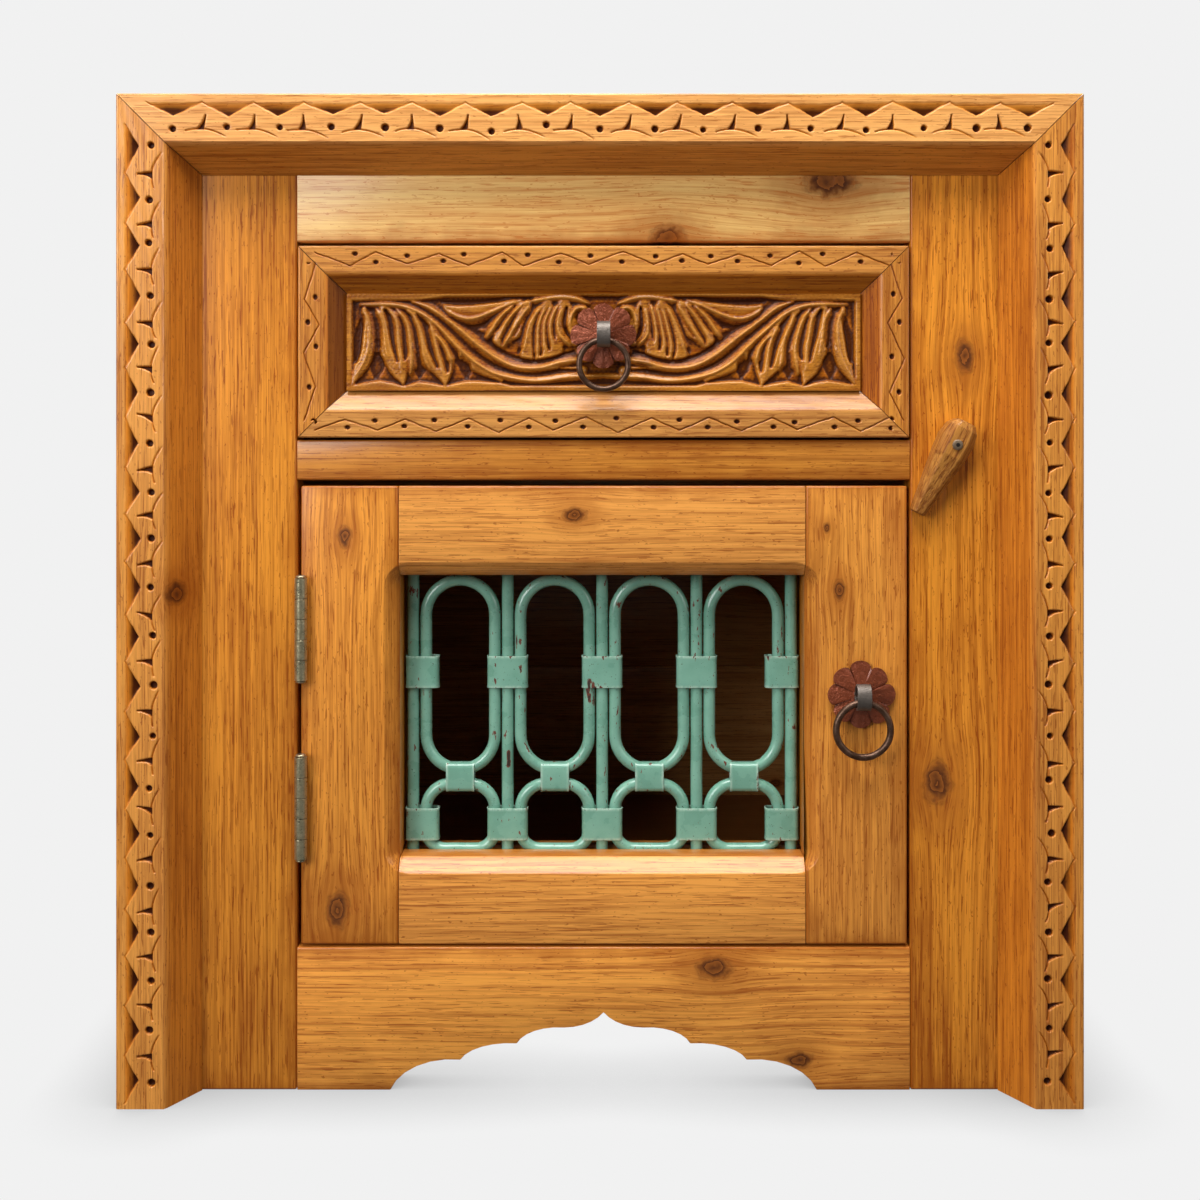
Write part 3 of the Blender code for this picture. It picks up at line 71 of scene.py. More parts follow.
# studio
studio = {
    "camera": (0.0, -1.062, 0.407), "lens": 43.8, "shiftY": -0.15, "sensor": 36.0, "clipStart": 0.05,
    "backdrop": 0.88, "ambient": 0.085, "floorHalf": 6.0, "floorBounce": 0.09,
    "shadowReach": 0.06, "shadowLevel": 0.40, "shadowSamples": 12,
    "lamps": {  # place, size, watts
        "softboxAbove": ((-0.1, -0.58, 1.7), 1.2, 41.0),
        "softboxLeft": ((-1.5, -1.9, 1.0), 1.2, 31.0),
        "softboxRight": ((1.9, -1.5, 0.9), 1.2, 8.0),
        "rimBehind": ((0.6, 1.6, 1.5), 1.4, 10.0),
    },
    "aim": (0.0, -0.1, 0.32),
}
white = (1, 1, 1, 1)


def setInputs(tree, made, inputs):
    # a socket is linked, anything else is set as the input's own value
    for key, value in inputs.items():
        if isinstance(value, bpy.types.NodeSocket):
            tree.links.new(value, made.inputs[key])
        else:
            made.inputs[key].default_value = value


def wire(tree, kind, inputs=None, **props):
    made = tree.nodes.new("ShaderNode" + kind)
    for key, value in props.items():
        setattr(made, key, value)
    setInputs(tree, made, inputs or {})
    return made


def calc(tree, operation, *terms, clamp=False):
    # a third term and any further ones are worked in from left to right
    made = wire(tree, "Math", dict(enumerate(terms[:2])), operation=operation, use_clamp=clamp)
    if len(terms) > 2:
        return calc(tree, operation, made.outputs[0], *terms[2:], clamp=clamp)
    return made.outputs[0]


def mathsOf(tree):
    return [partial(calc, tree, operation) for operation in ("ADD", "SUBTRACT", "MULTIPLY")]


def blendColour(tree, amount, first, second, how="MIX"):
    made = wire(tree, "Mix", {0: amount, 6: first, 7: second}, data_type="RGBA", blend_type=how)
    return made.outputs[2]


def remap(tree, value, low, high, toLow=0.0, toHigh=1.0, kind="SMOOTHSTEP"):
    made = wire(tree, "MapRange", {"Value": value, "From Min": low, "From Max": high,
                                   "To Min": toLow, "To Max": toHigh}, interpolation_type=kind)
    return made.outputs[0]


def cloudy(tree, place, scale, detail, rough=0.5):
    made = wire(tree, "TexNoise", {"Vector": place, "Scale": scale, "Detail": detail, "Roughness": rough})
    return made.outputs[0]


def addObject(name, data):
    made = bpy.data.objects.new(name, data)
    bpy.context.scene.collection.objects.link(made)
    return made


def makeBackdrop(scene):
    world = bpy.data.worlds.new("studioWorld")
    scene.world = world
    world.use_nodes = True
    tree = world.node_tree
    tree.nodes.clear()
    path = wire(tree, "LightPath")
    seen = calc(tree, "MAXIMUM", path.outputs["Is Camera Ray"], path.outputs["Is Transmission Ray"])
    strength = remap(tree, seen, 0.0, 1.0, studio["ambient"], studio["backdrop"], "LINEAR")
    sky = wire(tree, "Background", {"Color": white, "Strength": strength})
    wire(tree, "OutputWorld", {"Surface": sky.outputs[0]})


def makeFloor():
    bm = bmesh.new()
    bmesh.ops.create_grid(bm, x_segments=1, y_segments=1, size=studio["floorHalf"])
    mesh = bpy.data.meshes.new("floor")
    bm.to_mesh(mesh)
    bm.free()
    floor = addObject("floor", mesh)
    paper = bpy.data.materials.new("palePaper")
    paper.use_nodes = True
    tree = paper.node_tree
    tree.nodes.clear()
    # the paper shows as the even backdrop, with a soft shadow close to the object
    contact = wire(tree, "AmbientOcclusion", {"Distance": studio["shadowReach"]}, samples=studio["shadowSamples"])
    shadow = remap(tree, contact.outputs["AO"], 0.0, 1.0, studio["shadowLevel"], studio["backdrop"], "LINEAR")
    glow = wire(tree, "Emission", {"Color": white, "Strength": shadow})
    plain = wire(tree, "BsdfDiffuse", {"Color": [studio["floorBounce"]] * 3 + [1]})
    seen = wire(tree, "LightPath").outputs["Is Camera Ray"]
    mix = wire(tree, "MixShader", {0: seen, 1: plain.outputs[0], 2: glow.outputs[0]})
    wire(tree, "OutputMaterial", {"Surface": mix.outputs[0]})
    mesh.materials.append(paper)


def hangLamps():
    for name, (place, size, watts) in studio["lamps"].items():
        lamp = bpy.data.lights.new(name, "AREA")
        lamp.shape = "DISK"
        lamp.size = size
        lamp.energy = watts
        holder = addObject(name, lamp)
        holder.location = place
        holder.rotation_euler = (Vector(studio["aim"]) - Vector(place)).to_track_quat("-Z", "Y").to_euler()


def setCamera(scene):
    camera = bpy.data.cameras.new("camera")
    camera.sensor_width = studio["sensor"]
    camera.lens = studio["lens"]
    camera.shift_y = studio["shiftY"]
    camera.clip_start = studio["clipStart"]
    holder = addObject("camera", camera)
    holder.location = studio["camera"]
    holder.rotation_euler = (math.pi / 2, 0, 0)
    scene.camera = holder


bpy.context.scene.view_settings.view_transform = "Standard"
makeBackdrop(bpy.context.scene)
makeFloor()
hangLamps()
setCamera(bpy.context.scene)
print("studio ready")


# shared finishes
def startGroup(name, inputs, outputs):
    group = bpy.data.node_groups.new(name, "ShaderNodeTree")
    for side, sockets in (("INPUT", inputs), ("OUTPUT", outputs)):
        for label, kind in sockets.items():
            group.interface.new_socket(name=label, in_out=side, socket_type="NodeSocket" + kind)
    return group, group.nodes.new("NodeGroupInput").outputs, group.nodes.new("NodeGroupOutput")


def startMaterial(name):
    material = bpy.data.materials.new(name)
    material.use_nodes = True
    tree = material.node_tree
    return material, tree, tree.nodes["Principled BSDF"]


pine = {
    "layers": {  # noise drawn out along the board: scale along it and across it, detail, roughness
        "bend": (3.0, 11.0, 3, 0.55), "ripple": (22.0, 60.0, 2, 0.55),
        "fibre": (14.0, 880.0, 3, 0.65), "streak": (5.0, 230.0, 3, 0.65), "blotch": (6.0, 19.0, 6, 0.66),
        "dashes": (60.0, 1200.0, 1, 0.55), "specks": (280.0, 850.0, 1, 0.55), "checks": (13.0, 620.0, 2, 0.55),
    },
    "bend": 22.0 * mm, "ripple": 2.2 * mm,  # how far the rings stray
    # slow spring wood, then a narrow dark summer line: share of a ring, darkness
    "ringStops": ((0.0, 0.15), (0.45, 0.3), (0.78, 0.85), (0.88, 1.0), (1.0, 0.18)), "ringMiddle": 0.42,
    "pores": {"dashes": (0.63, 0.66), "specks": (0.69, 0.72), "checks": (0.65, 0.69)}, "checks": 0.8,
    "fibre": 3.2, "streak": 1.6, "blotch": 1.6, "pore": 0.55, "ground": 0.34,  # shares in the darkness
    "fibreHeight": 0.5, "ringHeight": 0.35,
    "fibreRough": 0.16, "blotchRough": 0.14, "rough": 0.27,
}


def makePineGrain():
    # x runs along the board; y and z cross it, in metres
    group, given, result = startGroup(
        "pineGrain",
        {"Vector": "Vector", "Light": "Color", "Dark": "Color", "Rings": "Float", "Ring Contrast": "Float",
         "Streak Contrast": "Float"},
        {"Color": "Color", "Height": "Float", "Roughness": "Float"})
    plus, minus, times = mathsOf(group)
    layer = {}
    for name, (along, across, detail, rough) in pine["layers"].items():
        spot = wire(group, "Mapping", {"Vector": given["Vector"], "Scale": (along, across, across)})
        layer[name] = cloudy(group, spot.outputs[0], 1.0, detail, rough)

    def swing(name):
        return times(minus(layer[name], 0.5), pine[name])

    bend = swing("bend")
    apart = wire(group, "SeparateXYZ", {"Vector": given["Vector"]}).outputs
    deep = plus(apart["Y"], bend)
    across = plus(apart["Z"], bend, swing("ripple"))
    radius = calc(group, "SQRT", plus(times(deep, deep), times(across, across)))
    ramp = wire(group, "ValToRGB", {"Fac": calc(group, "FRACT", times(radius, given["Rings"]))})
    stops = ramp.color_ramp.elements
    for position, _ in pine["ringStops"][1:-1]:
        stops.new(position)
    for stop, (_, level) in zip(stops, pine["ringStops"]):
        stop.color = (level, level, level, 1)
    ring = times(minus(ramp.outputs[0], pine["ringMiddle"]), given["Ring Contrast"])
    pore = {name: remap(group, layer[name], *between) for name, between in pine["pores"].items()}
    pores = plus(pore["dashes"], pore["specks"], times(pore["checks"], pine["checks"]))
    lines = times(plus(swing("fibre"), swing("streak")), given["Streak Contrast"])
    tone = plus(ring, lines, swing("blotch"), pine["ground"])
    tone = plus(tone, times(pores, pine["pore"]), clamp=True)
    raised = plus(times(layer["fibre"], pine["fibreHeight"]), times(ring, pine["ringHeight"]))
    setInputs(group, result, {
        "Color": blendColour(group, tone, given["Light"], given["Dark"]),
        "Height": minus(raised, pores),
        "Roughness": plus(times(layer["fibre"], pine["fibreRough"]), times(layer["blotch"], pine["blotchRough"]),
                          pine["rough"])})
    return group


pineKnots = {"drawnOut": 0.62, "ragged": 190.0, "wander": 0.7,
             "heart": (1.0, 0.45), "halo": (2.6, 0.9), "rings": 2.7}


def makePineKnot():
    # bends the grain round a knot and marks its heart; widths are shares of the knot's radius
    group, given, result = startGroup(
        "pineKnot", {"Vector": "Vector", "Centre": "Vector", "Radius": "Float"},
        {"Shift": "Float", "Heart": "Float", "Halo": "Float", "Rings": "Float"})
    plus, minus, times = mathsOf(group)
    over = partial(calc, group, "DIVIDE")
    radius = given["Radius"]
    away = wire(group, "VectorMath", {0: given["Vector"], 1: given["Centre"]}, operation="SUBTRACT")
    apart = wire(group, "SeparateXYZ", {"Vector": away.outputs[0]}).outputs
    wobble = times(minus(cloudy(group, given["Vector"], pineKnots["ragged"], 2.0), 0.5), radius)
    along = times(apart["X"], pineKnots["drawnOut"])
    side = apart["Z"]
    square = plus(times(along, along), times(side, side))
    share = over(plus(calc(group, "SQRT", square), times(wobble, pineKnots["wander"])), radius)
    keep = over(square, plus(square, times(radius, radius)))
    setInputs(group, result, {
        "Shift": minus(times(side, keep), side),
        "Heart": remap(group, share, *pineKnots["heart"]),
        "Halo": remap(group, share, *pineKnots["halo"]),
        "Rings": calc(group, "FRACT", times(share, pineKnots["rings"]))})
    return group


jointDarkening = {  # each from, to, then the amounts there
    "wide": (12.0 * mm, -3.0 * mm, 0.0, 0.5), "line": (2.2 * mm, 0.0, 0.0, 0.4), "face": (-0.2, -0.8),
    "top": (0.85, 0.95, 0.0, 0.6), "cloud": 45.0, "cloudReach": 22.0 * mm,
}


def makeJointShadeAndGrime():
    # painted shade and grime gather along a board's joints, on its front faces only, and its up-facing faces are
    # darker
    group, given, result = startGroup(
        "jointShadeAndGrime", {"Vector": "Vector", "Normal": "Vector", "Middle": "Vector", "Half Width": "Float",
                      "Half Height": "Float"}, {"Shade And Grime": "Float", "Top": "Float"})
    plus, minus, times = mathsOf(group)
    away = wire(group, "VectorMath", {0: given["Vector"], 1: given["Middle"]}, operation="SUBTRACT").outputs[0]
    aside = wire(group, "VectorMath", {0: away}, operation="ABSOLUTE").outputs[0]
    apart = wire(group, "SeparateXYZ", {"Vector": aside}).outputs
    nearest = calc(group, "MINIMUM", minus(given["Half Width"], apart["X"]),
                   minus(given["Half Height"], apart["Z"]))
    cloud = minus(cloudy(group, given["Vector"], jointDarkening["cloud"], 4.0), 0.5)
    wide = remap(group, plus(nearest, times(cloud, jointDarkening["cloudReach"])), *jointDarkening["wide"])
    shadeAndGrime = plus(wide, remap(group, nearest, *jointDarkening["line"]))
    facing = wire(group, "SeparateXYZ", {"Vector": given["Normal"]}).outputs
    setInputs(group, result, {
        "Shade And Grime": times(shadeAndGrime, remap(group, facing["Y"], *jointDarkening["face"])),
        "Top": remap(group, facing["Z"], *jointDarkening["top"])})
    return group


carvedFinish = {
    # the first two colours darken the cuts with painted shade, partly real stain and dirt; the pale one is a
    # painted highlight on the crests
    "stainAndShade": (0.86, 0.645, 0.24, 1), "grooveDirtAndShade": (0.12, 0.075, 0.045, 1), "worn": (0.78, 0.34, 0.06, 1),
    "stainAndShadeAt": (0.0, 0.5), "grooveDirtAndShadeAt": (0.5, 1.0), "crestHighlightAt": (0.0, -0.6, 0.0, 0.4),  # depths of cut
}


def makeCarvedTone():
    # stain and painted shade in the cuts, dirt and painted shade in the deep ones, a painted highlight paling the
    # crests, and wax only where a cloth reaches
    group, given, result = startGroup("carvedTone", {"Color": "Color", "Cut": "Float", "Coat": "Float"},
                                      {"Color": "Color", "Coat": "Float"})
    colour = given["Color"]
    for name in ("stainAndShade", "grooveDirtAndShade"):
        amount = remap(group, given["Cut"], *carvedFinish[name + "At"], kind="LINEAR")
        colour = blendColour(group, amount, colour, carvedFinish[name], "MULTIPLY")
    # painted highlight: the crests standing proud are paled
    colour = blendColour(group, remap(group, given["Cut"], *carvedFinish["crestHighlightAt"]), colour, carvedFinish["worn"])
    dry = calc(group, "SUBTRACT", 1.0, given["Cut"], clamp=True)
    setInputs(group, result, {"Color": colour, "Coat": calc(group, "MULTIPLY", dry, dry, given["Coat"])})
    return group


pineGrain = makePineGrain()
pineKnot = makePineKnot()
jointShadeAndGrime = makeJointShadeAndGrime()
carvedTone = makeCarvedTone()

wood = {
    "light": (0.80, 0.296, 0.026, 1), "dark": (0.32, 0.070, 0.002, 1),
    "pale": (0.90, 0.49, 0.18, 1), "paleDark": (0.58, 0.24, 0.06, 1), "brightest": 0.95,
    "knot": (0.085, 0.023, 0.005, 1), "knotRing": (0.31, 0.092, 0.013, 1),
    "halo": (0.38, 0.105, 0.010, 1), "haloShare": 0.5,
    "relief": 1.2 * mm, "specular": 0.16, "coatRough": 0.2,
    "turns": {"X": (0, 0, 0), "Z": (0, math.pi / 2, 0), "Y": (0, 0, -math.pi / 2)},
    "start": (-4, 4), "fromPith": (0.05, 0.11), "aside": (0.02, 0.11),  # where in the log a board is sawn, in m
}


def woodTone(plain, washed, pale, tone):
    mixed = [(a + (b - a) * pale) * tone for a, b in zip(wood[plain][:3], wood[washed][:3])]
    return [min(level, wood["brightest"]) for level in mixed] + [1]


def makeWood(name, along, middle, tone=1.0, rings=230.0, ringContrast=0.36, streak=0.62, knots=(),
             carved=False, bump=0.22, pale=0.0, edges=None, coat=0.55):
    # one board's own material: its grain runs along an axis, about its own middle
    dice = random.Random(name)
    material, tree, shader = startMaterial(name)
    angles = wood["turns"][along] if along in wood["turns"] else (0, math.radians(along), 0)
    rotation = Matrix.Rotation(angles[1], 3, "Y") @ Matrix.Rotation(angles[2], 3, "Z")
    start = dice.uniform(*wood["start"])
    fromPith = dice.uniform(*wood["fromPith"])
    aside = dice.choice((-1, 1)) * dice.uniform(*wood["aside"])
    place = Vector((start, fromPith, aside)) - rotation @ Vector(middle)
    spot = wire(tree, "TexCoord").outputs
    vector = wire(tree, "Mapping", {"Vector": spot["Object"], "Location": place, "Rotation": angles}).outputs[0]
    marks = []
    for x, z, radius in knots:
        centre = rotation @ Vector((x * mm, middle[1], z * mm)) + place
        knot = wire(tree, "Group", {"Vector": vector, "Centre": centre, "Radius": radius * mm},
                    node_tree=pineKnot).outputs
        shift = wire(tree, "CombineXYZ", {"Z": knot["Shift"]}).outputs[0]
        vector = wire(tree, "VectorMath", {0: vector, 1: shift}, operation="ADD").outputs[0]
        marks.append(knot)
    grain = wire(tree, "Group", {
        "Vector": vector, "Light": woodTone("light", "pale", pale, tone),
        "Dark": woodTone("dark", "paleDark", pale, tone), "Rings": rings, "Ring Contrast": ringContrast,
        "Streak Contrast": streak}, node_tree=pineGrain).outputs
    colour = grain["Color"]
    for knot in marks:
        halo = calc(tree, "MULTIPLY", knot["Halo"], wood["haloShare"])
        colour = blendColour(tree, halo, colour, wood["halo"])
        heart = blendColour(tree, knot["Rings"], wood["knot"], wood["knotRing"])
        colour = blendColour(tree, knot["Heart"], colour, heart)
    if edges is not None:
        joint = wire(tree, "Group", {
            "Vector": spot["Object"], "Normal": spot["Normal"], "Middle": middle, "Half Width": edges[0],
            "Half Height": edges[1]}, node_tree=jointShadeAndGrime).outputs
        # painted shade and grime near the joints, then the up-facing faces made darker
        colour = blendColour(tree, joint["Shade And Grime"], colour, wood["dark"])
        colour = blendColour(tree, joint["Top"], colour, wood["halo"])
    if carved:
        cut = wire(tree, "Attribute", attribute_name="cut").outputs["Fac"]
        cuts = wire(tree, "Group", {"Color": colour, "Cut": cut, "Coat": coat}, node_tree=carvedTone).outputs
        colour = cuts["Color"]
        coat = cuts["Coat"]
    relief = wire(tree, "Bump", {"Height": grain["Height"], "Strength": bump, "Distance": wood["relief"]})
    setInputs(tree, shader, {
        "Base Color": colour, "Roughness": grain["Roughness"], "Normal": relief.outputs[0],
        "Specular IOR Level": wood["specular"], "Coat Weight": coat, "Coat Roughness": wood["coatRough"]})
    return material


metals = {  # base, second tone, rust, metallic, roughness, share of rust, bump, coat
    "oxideIron": ((0.085, 0.015, 0.005, 1), (0.165, 0.037, 0.013, 1), (0.034, 0.008, 0.003, 1),
        0.45, 0.30, 0.6, 0.7, 0.5),
    "ringIron": ((0.070, 0.032, 0.017, 1), (0.135, 0.075, 0.048, 1), (0.045, 0.018, 0.009, 1),
        0.7, 0.36, 0.5, 0.25, 0),
    "wornSteel": ((0.13, 0.085, 0.049, 1), (0.46, 0.34, 0.21, 1), (0.050, 0.026, 0.011, 1),
        0.8, 0.30, 0.75, 0.25, 0),
    "stapleSteel": ((0.055, 0.046, 0.037, 1), (0.12, 0.10, 0.085, 1), (0.040, 0.022, 0.012, 1),
        0.6, 0.48, 0.6, 0.25, 0),
    "screwSteel": ((0.13, 0.085, 0.05, 1), (0.20, 0.14, 0.085, 1), (0.08, 0.045, 0.022, 1),
        0.4, 0.5, 0.5, 0.25, 0),
}
ironWear = {
    "cloud": 160.0, "speck": 960.0, "tones": (0.35, 0.65), "rustFrom": (0.62, 0.16), "rustTo": (0.70, 0.12),
    "edge": (0.52, 0.60), "edgeShare": 0.5, "edgeGain": 2.4, "edgeMost": 0.8, "uneven": 0.3, "speckHeight": 0.4,
    # pit darkens nail pits and petal creases as painted shade; the colour after it darkens the middle of the
    # screw's head
    "relief": 1.4 * mm, "coatRough": 0.25, "pit": (0.008, 0.004, 0.003, 1), "headMiddleDark": (0.012, 0.007, 0.004, 1),
}


def makeWornIron():
    # two tones of old metal, rust in patches and brighter edges where it is handled
    group, given, result = startGroup(
        "wornIron", {"Vector": "Vector", "Base": "Color", "Second": "Color", "Rust": "Color", "Edge": "Color",
                     "Rust Share": "Float", "Roughness": "Float"},
        {"Color": "Color", "Roughness": "Float", "Height": "Float"})
    plus, minus, times = mathsOf(group)
    cloud = cloudy(group, given["Vector"], ironWear["cloud"], 5.0, 0.65)
    speck = cloudy(group, given["Vector"], ironWear["speck"], 3.0)
    colour = blendColour(group, remap(group, cloud, *ironWear["tones"]), given["Base"], given["Second"])
    share = given["Rust Share"]
    limits = [minus(level, times(share, fall)) for level, fall in (ironWear["rustFrom"], ironWear["rustTo"])]
    patch = remap(group, plus(times(cloud, 0.6), times(speck, 0.4)), *limits)
    colour = blendColour(group, times(patch, share), colour, given["Rust"])
    bright = remap(group, wire(group, "NewGeometry").outputs["Pointiness"], *ironWear["edge"])
    setInputs(group, result, {
        "Color": blendColour(group, times(bright, ironWear["edgeShare"]), colour, given["Edge"]),
        "Roughness": plus(times(minus(cloud, 0.5), ironWear["uneven"]), given["Roughness"]),
        "Height": plus(cloud, times(speck, ironWear["speckHeight"]))})
    return group


wornIron = makeWornIron()


def makeMetal(name):
    base, second, rust, metallic, roughness, rustShare, bump, coat = metals[name]
    material, tree, shader = startMaterial(name)
    edge = [min(level * ironWear["edgeGain"], ironWear["edgeMost"]) for level in second[:3]] + [1]
    worn = wire(tree, "Group", {
        "Vector": wire(tree, "TexCoord").outputs["Object"], "Base": base, "Second": second, "Rust": rust,
        "Edge": edge, "Rust Share": rustShare, "Roughness": roughness}, node_tree=wornIron).outputs
    relief = wire(tree, "Bump", {"Height": worn["Height"], "Strength": bump, "Distance": ironWear["relief"]})
    setInputs(tree, shader, {
        "Base Color": worn["Color"], "Roughness": worn["Roughness"], "Normal": relief.outputs[0],
        "Metallic": metallic, "Coat Weight": coat, "Coat Roughness": ironWear["coatRough"]})
    return material


def layOver(material, mask, colour):
    # a second colour over a finished material, where the mask is
    tree = material.node_tree
    base = tree.nodes["Principled BSDF"].inputs["Base Color"]
    tree.links.new(blendColour(tree, mask, base.links[0].from_socket, colour), base)


paint = {
    "body": (0.185, 0.40, 0.295, 1), "pale": (0.25, 0.49, 0.37, 1), "deep": (0.125, 0.30, 0.215, 1), "even": 0.55,
    "primer": (0.15, 0.032, 0.013, 1), "bare": (0.030, 0.017, 0.010, 1), "rim": (0.45, 0.62, 0.50, 1),
    # middle x, z, half width, half height in mm
    "barePlaces": ((-6.0, 238.0, 2.6, 9.0), (-57.0, 195.5, 2.2, 6.0), (-97.0, 135.0, 10.0, 3.0),
                   (31.0, 137.0, 9.0, 2.4)),
    "primerAt": (0.775, 0.787), "ironAt": (0.825, 0.87), "specksAt": (0.70, 0.74),  # bareness, noise
    "chipsDrawnOut": (1.0, 1.0, 0.32), "film": 0.6 * mm, "bump": 0.35, "coat": 0.5, "coatRough": 0.12,
}


def makeGreenPaint():
    material, tree, shader = startMaterial("wornGreenPaint")
    plus, minus, times = mathsOf(tree)
    spot = wire(tree, "TexCoord").outputs["Object"]
    cloud = cloudy(tree, spot, 70.0, 4.0)
    dabs = wire(tree, "Mapping", {"Vector": spot, "Scale": paint["chipsDrawnOut"]}).outputs[0]
    chips = cloudy(tree, dabs, 330.0, 3.0, 0.6)
    specks = cloudy(tree, spot, 900.0, 2.0)
    colour = blendColour(tree, remap(tree, cloud, 0.3, 0.7), paint["deep"], paint["pale"])
    colour = blendColour(tree, paint["even"], colour, paint["body"])
    rim = wire(tree, "Attribute", attribute_name="rim").outputs["Fac"]
    atEdge = times(rim, remap(tree, chips, 0.35, 0.6, 0.25, 0.9))
    colour = blendColour(tree, atEdge, colour, paint["rim"])
    bareness = plus(chips, times(cloud, 0.22), times(rim, 0.055))
    for x, z, wide, tall in paint["barePlaces"]:
        away = wire(tree, "VectorMath", {0: spot, 1: (x * mm, 0, z * mm)}, operation="SUBTRACT").outputs[0]
        apart = wire(tree, "SeparateXYZ", {"Vector": away}).outputs
        aside = calc(tree, "DIVIDE", apart["X"], wide * mm)
        up = calc(tree, "DIVIDE", apart["Z"], tall * mm)
        reach = plus(times(aside, aside), times(up, up))
        bareness = plus(bareness, remap(tree, reach, 1.5, 0.2, 0.0, 0.24))
    edge = remap(tree, bareness, *paint["primerAt"])
    colour = blendColour(tree, remap(tree, specks, *paint["specksAt"]), colour, paint["bare"])
    colour = blendColour(tree, edge, colour, paint["primer"])
    colour = blendColour(tree, remap(tree, bareness, *paint["ironAt"]), colour, paint["bare"])
    film = minus(times(cloud, 0.5), edge)
    relief = wire(tree, "Bump", {"Height": film, "Strength": paint["bump"], "Distance": paint["film"]})
    setInputs(tree, shader, {
        "Base Color": colour, "Roughness": plus(times(cloud, 0.25), 0.16, times(edge, 0.25)),
        "Normal": relief.outputs[0], "Coat Weight": paint["coat"], "Coat Roughness": paint["coatRough"]})
    return material


greenPaint = makeGreenPaint()
oxideIron = makeMetal("oxideIron")
# painted shade in the rosettes' nail pits and between their petals
pitAndCreaseShade = wire(oxideIron.node_tree, "Attribute", attribute_name="cut").outputs["Fac"]
layOver(oxideIron, pitAndCreaseShade, ironWear["pit"])
ringIron = makeMetal("ringIron")
wornSteel = makeMetal("wornSteel")
stapleSteel = makeMetal("stapleSteel")
print("finishes ready")


# shared shaping
def middleOf(node):
    low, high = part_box(node)
    return (Vector(low) + Vector(high)) / 2


def finishMesh(bm, name, sharpAngle=None):
    mesh = bpy.data.meshes.new(name)
    bm.to_mesh(mesh)
    bm.free()
    mesh.shade_smooth()
    if sharpAngle is not None:
        mesh.set_sharp_from_angle(angle=math.radians(sharpAngle))
    return mesh


def standFor(node, mesh, material):
    # the modelled piece takes a node's place and moves with its body
    piece = addObject(node + "_look", mesh)
    mesh.materials.clear()
    mesh.materials.append(material)
    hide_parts(node)
    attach(piece, bodyOfNode[node])


def faceOut(bm):
    bmesh.ops.recalc_face_normals(bm, faces=bm.faces[:])


def closeEnds(bm):
    bmesh.ops.holes_fill(bm, edges=[edge for edge in bm.edges if edge.is_boundary], sides=0)


def arrises(bm, degrees):
    folded = [edge for edge in bm.edges if len(edge.link_faces) == 2]
    return [edge for edge in folded if edge.calc_face_angle() > math.radians(degrees)]


def roundEdges(bm, edges, width, segments):
    bmesh.ops.bevel(bm, geom=edges, offset=width, offset_type="OFFSET", segments=segments, profile=0.5,
                    affect="EDGES", clamp_overlap=True, material=-1)


def softBoard(node, width=0.45 * mm, segments=2, sharp=25):
    # a board of the frame with its arrises worn round
    bm = bmesh.new()
    bm.from_mesh(nodes[node].data)
    bmesh.ops.remove_doubles(bm, verts=bm.verts[:], dist=0.01 * mm)
    bmesh.ops.dissolve_limit(bm, angle_limit=math.radians(2), verts=bm.verts[:], edges=bm.edges[:])
    roundEdges(bm, arrises(bm, 30), width, segments)
    return finishMesh(bm, node, sharp)


def placesOf(mesh):
    spots = np.empty(len(mesh.vertices) * 3)
    mesh.vertices.foreach_get("co", spots)
    return spots.reshape(-1, 3)


def markPoints(mesh, name, values):
    mark = mesh.attributes.new(name, "FLOAT", "POINT")
    mark.data.foreach_set("value", values.astype(np.float32))


def unit(values):
    return np.clip(values, 0, 1)


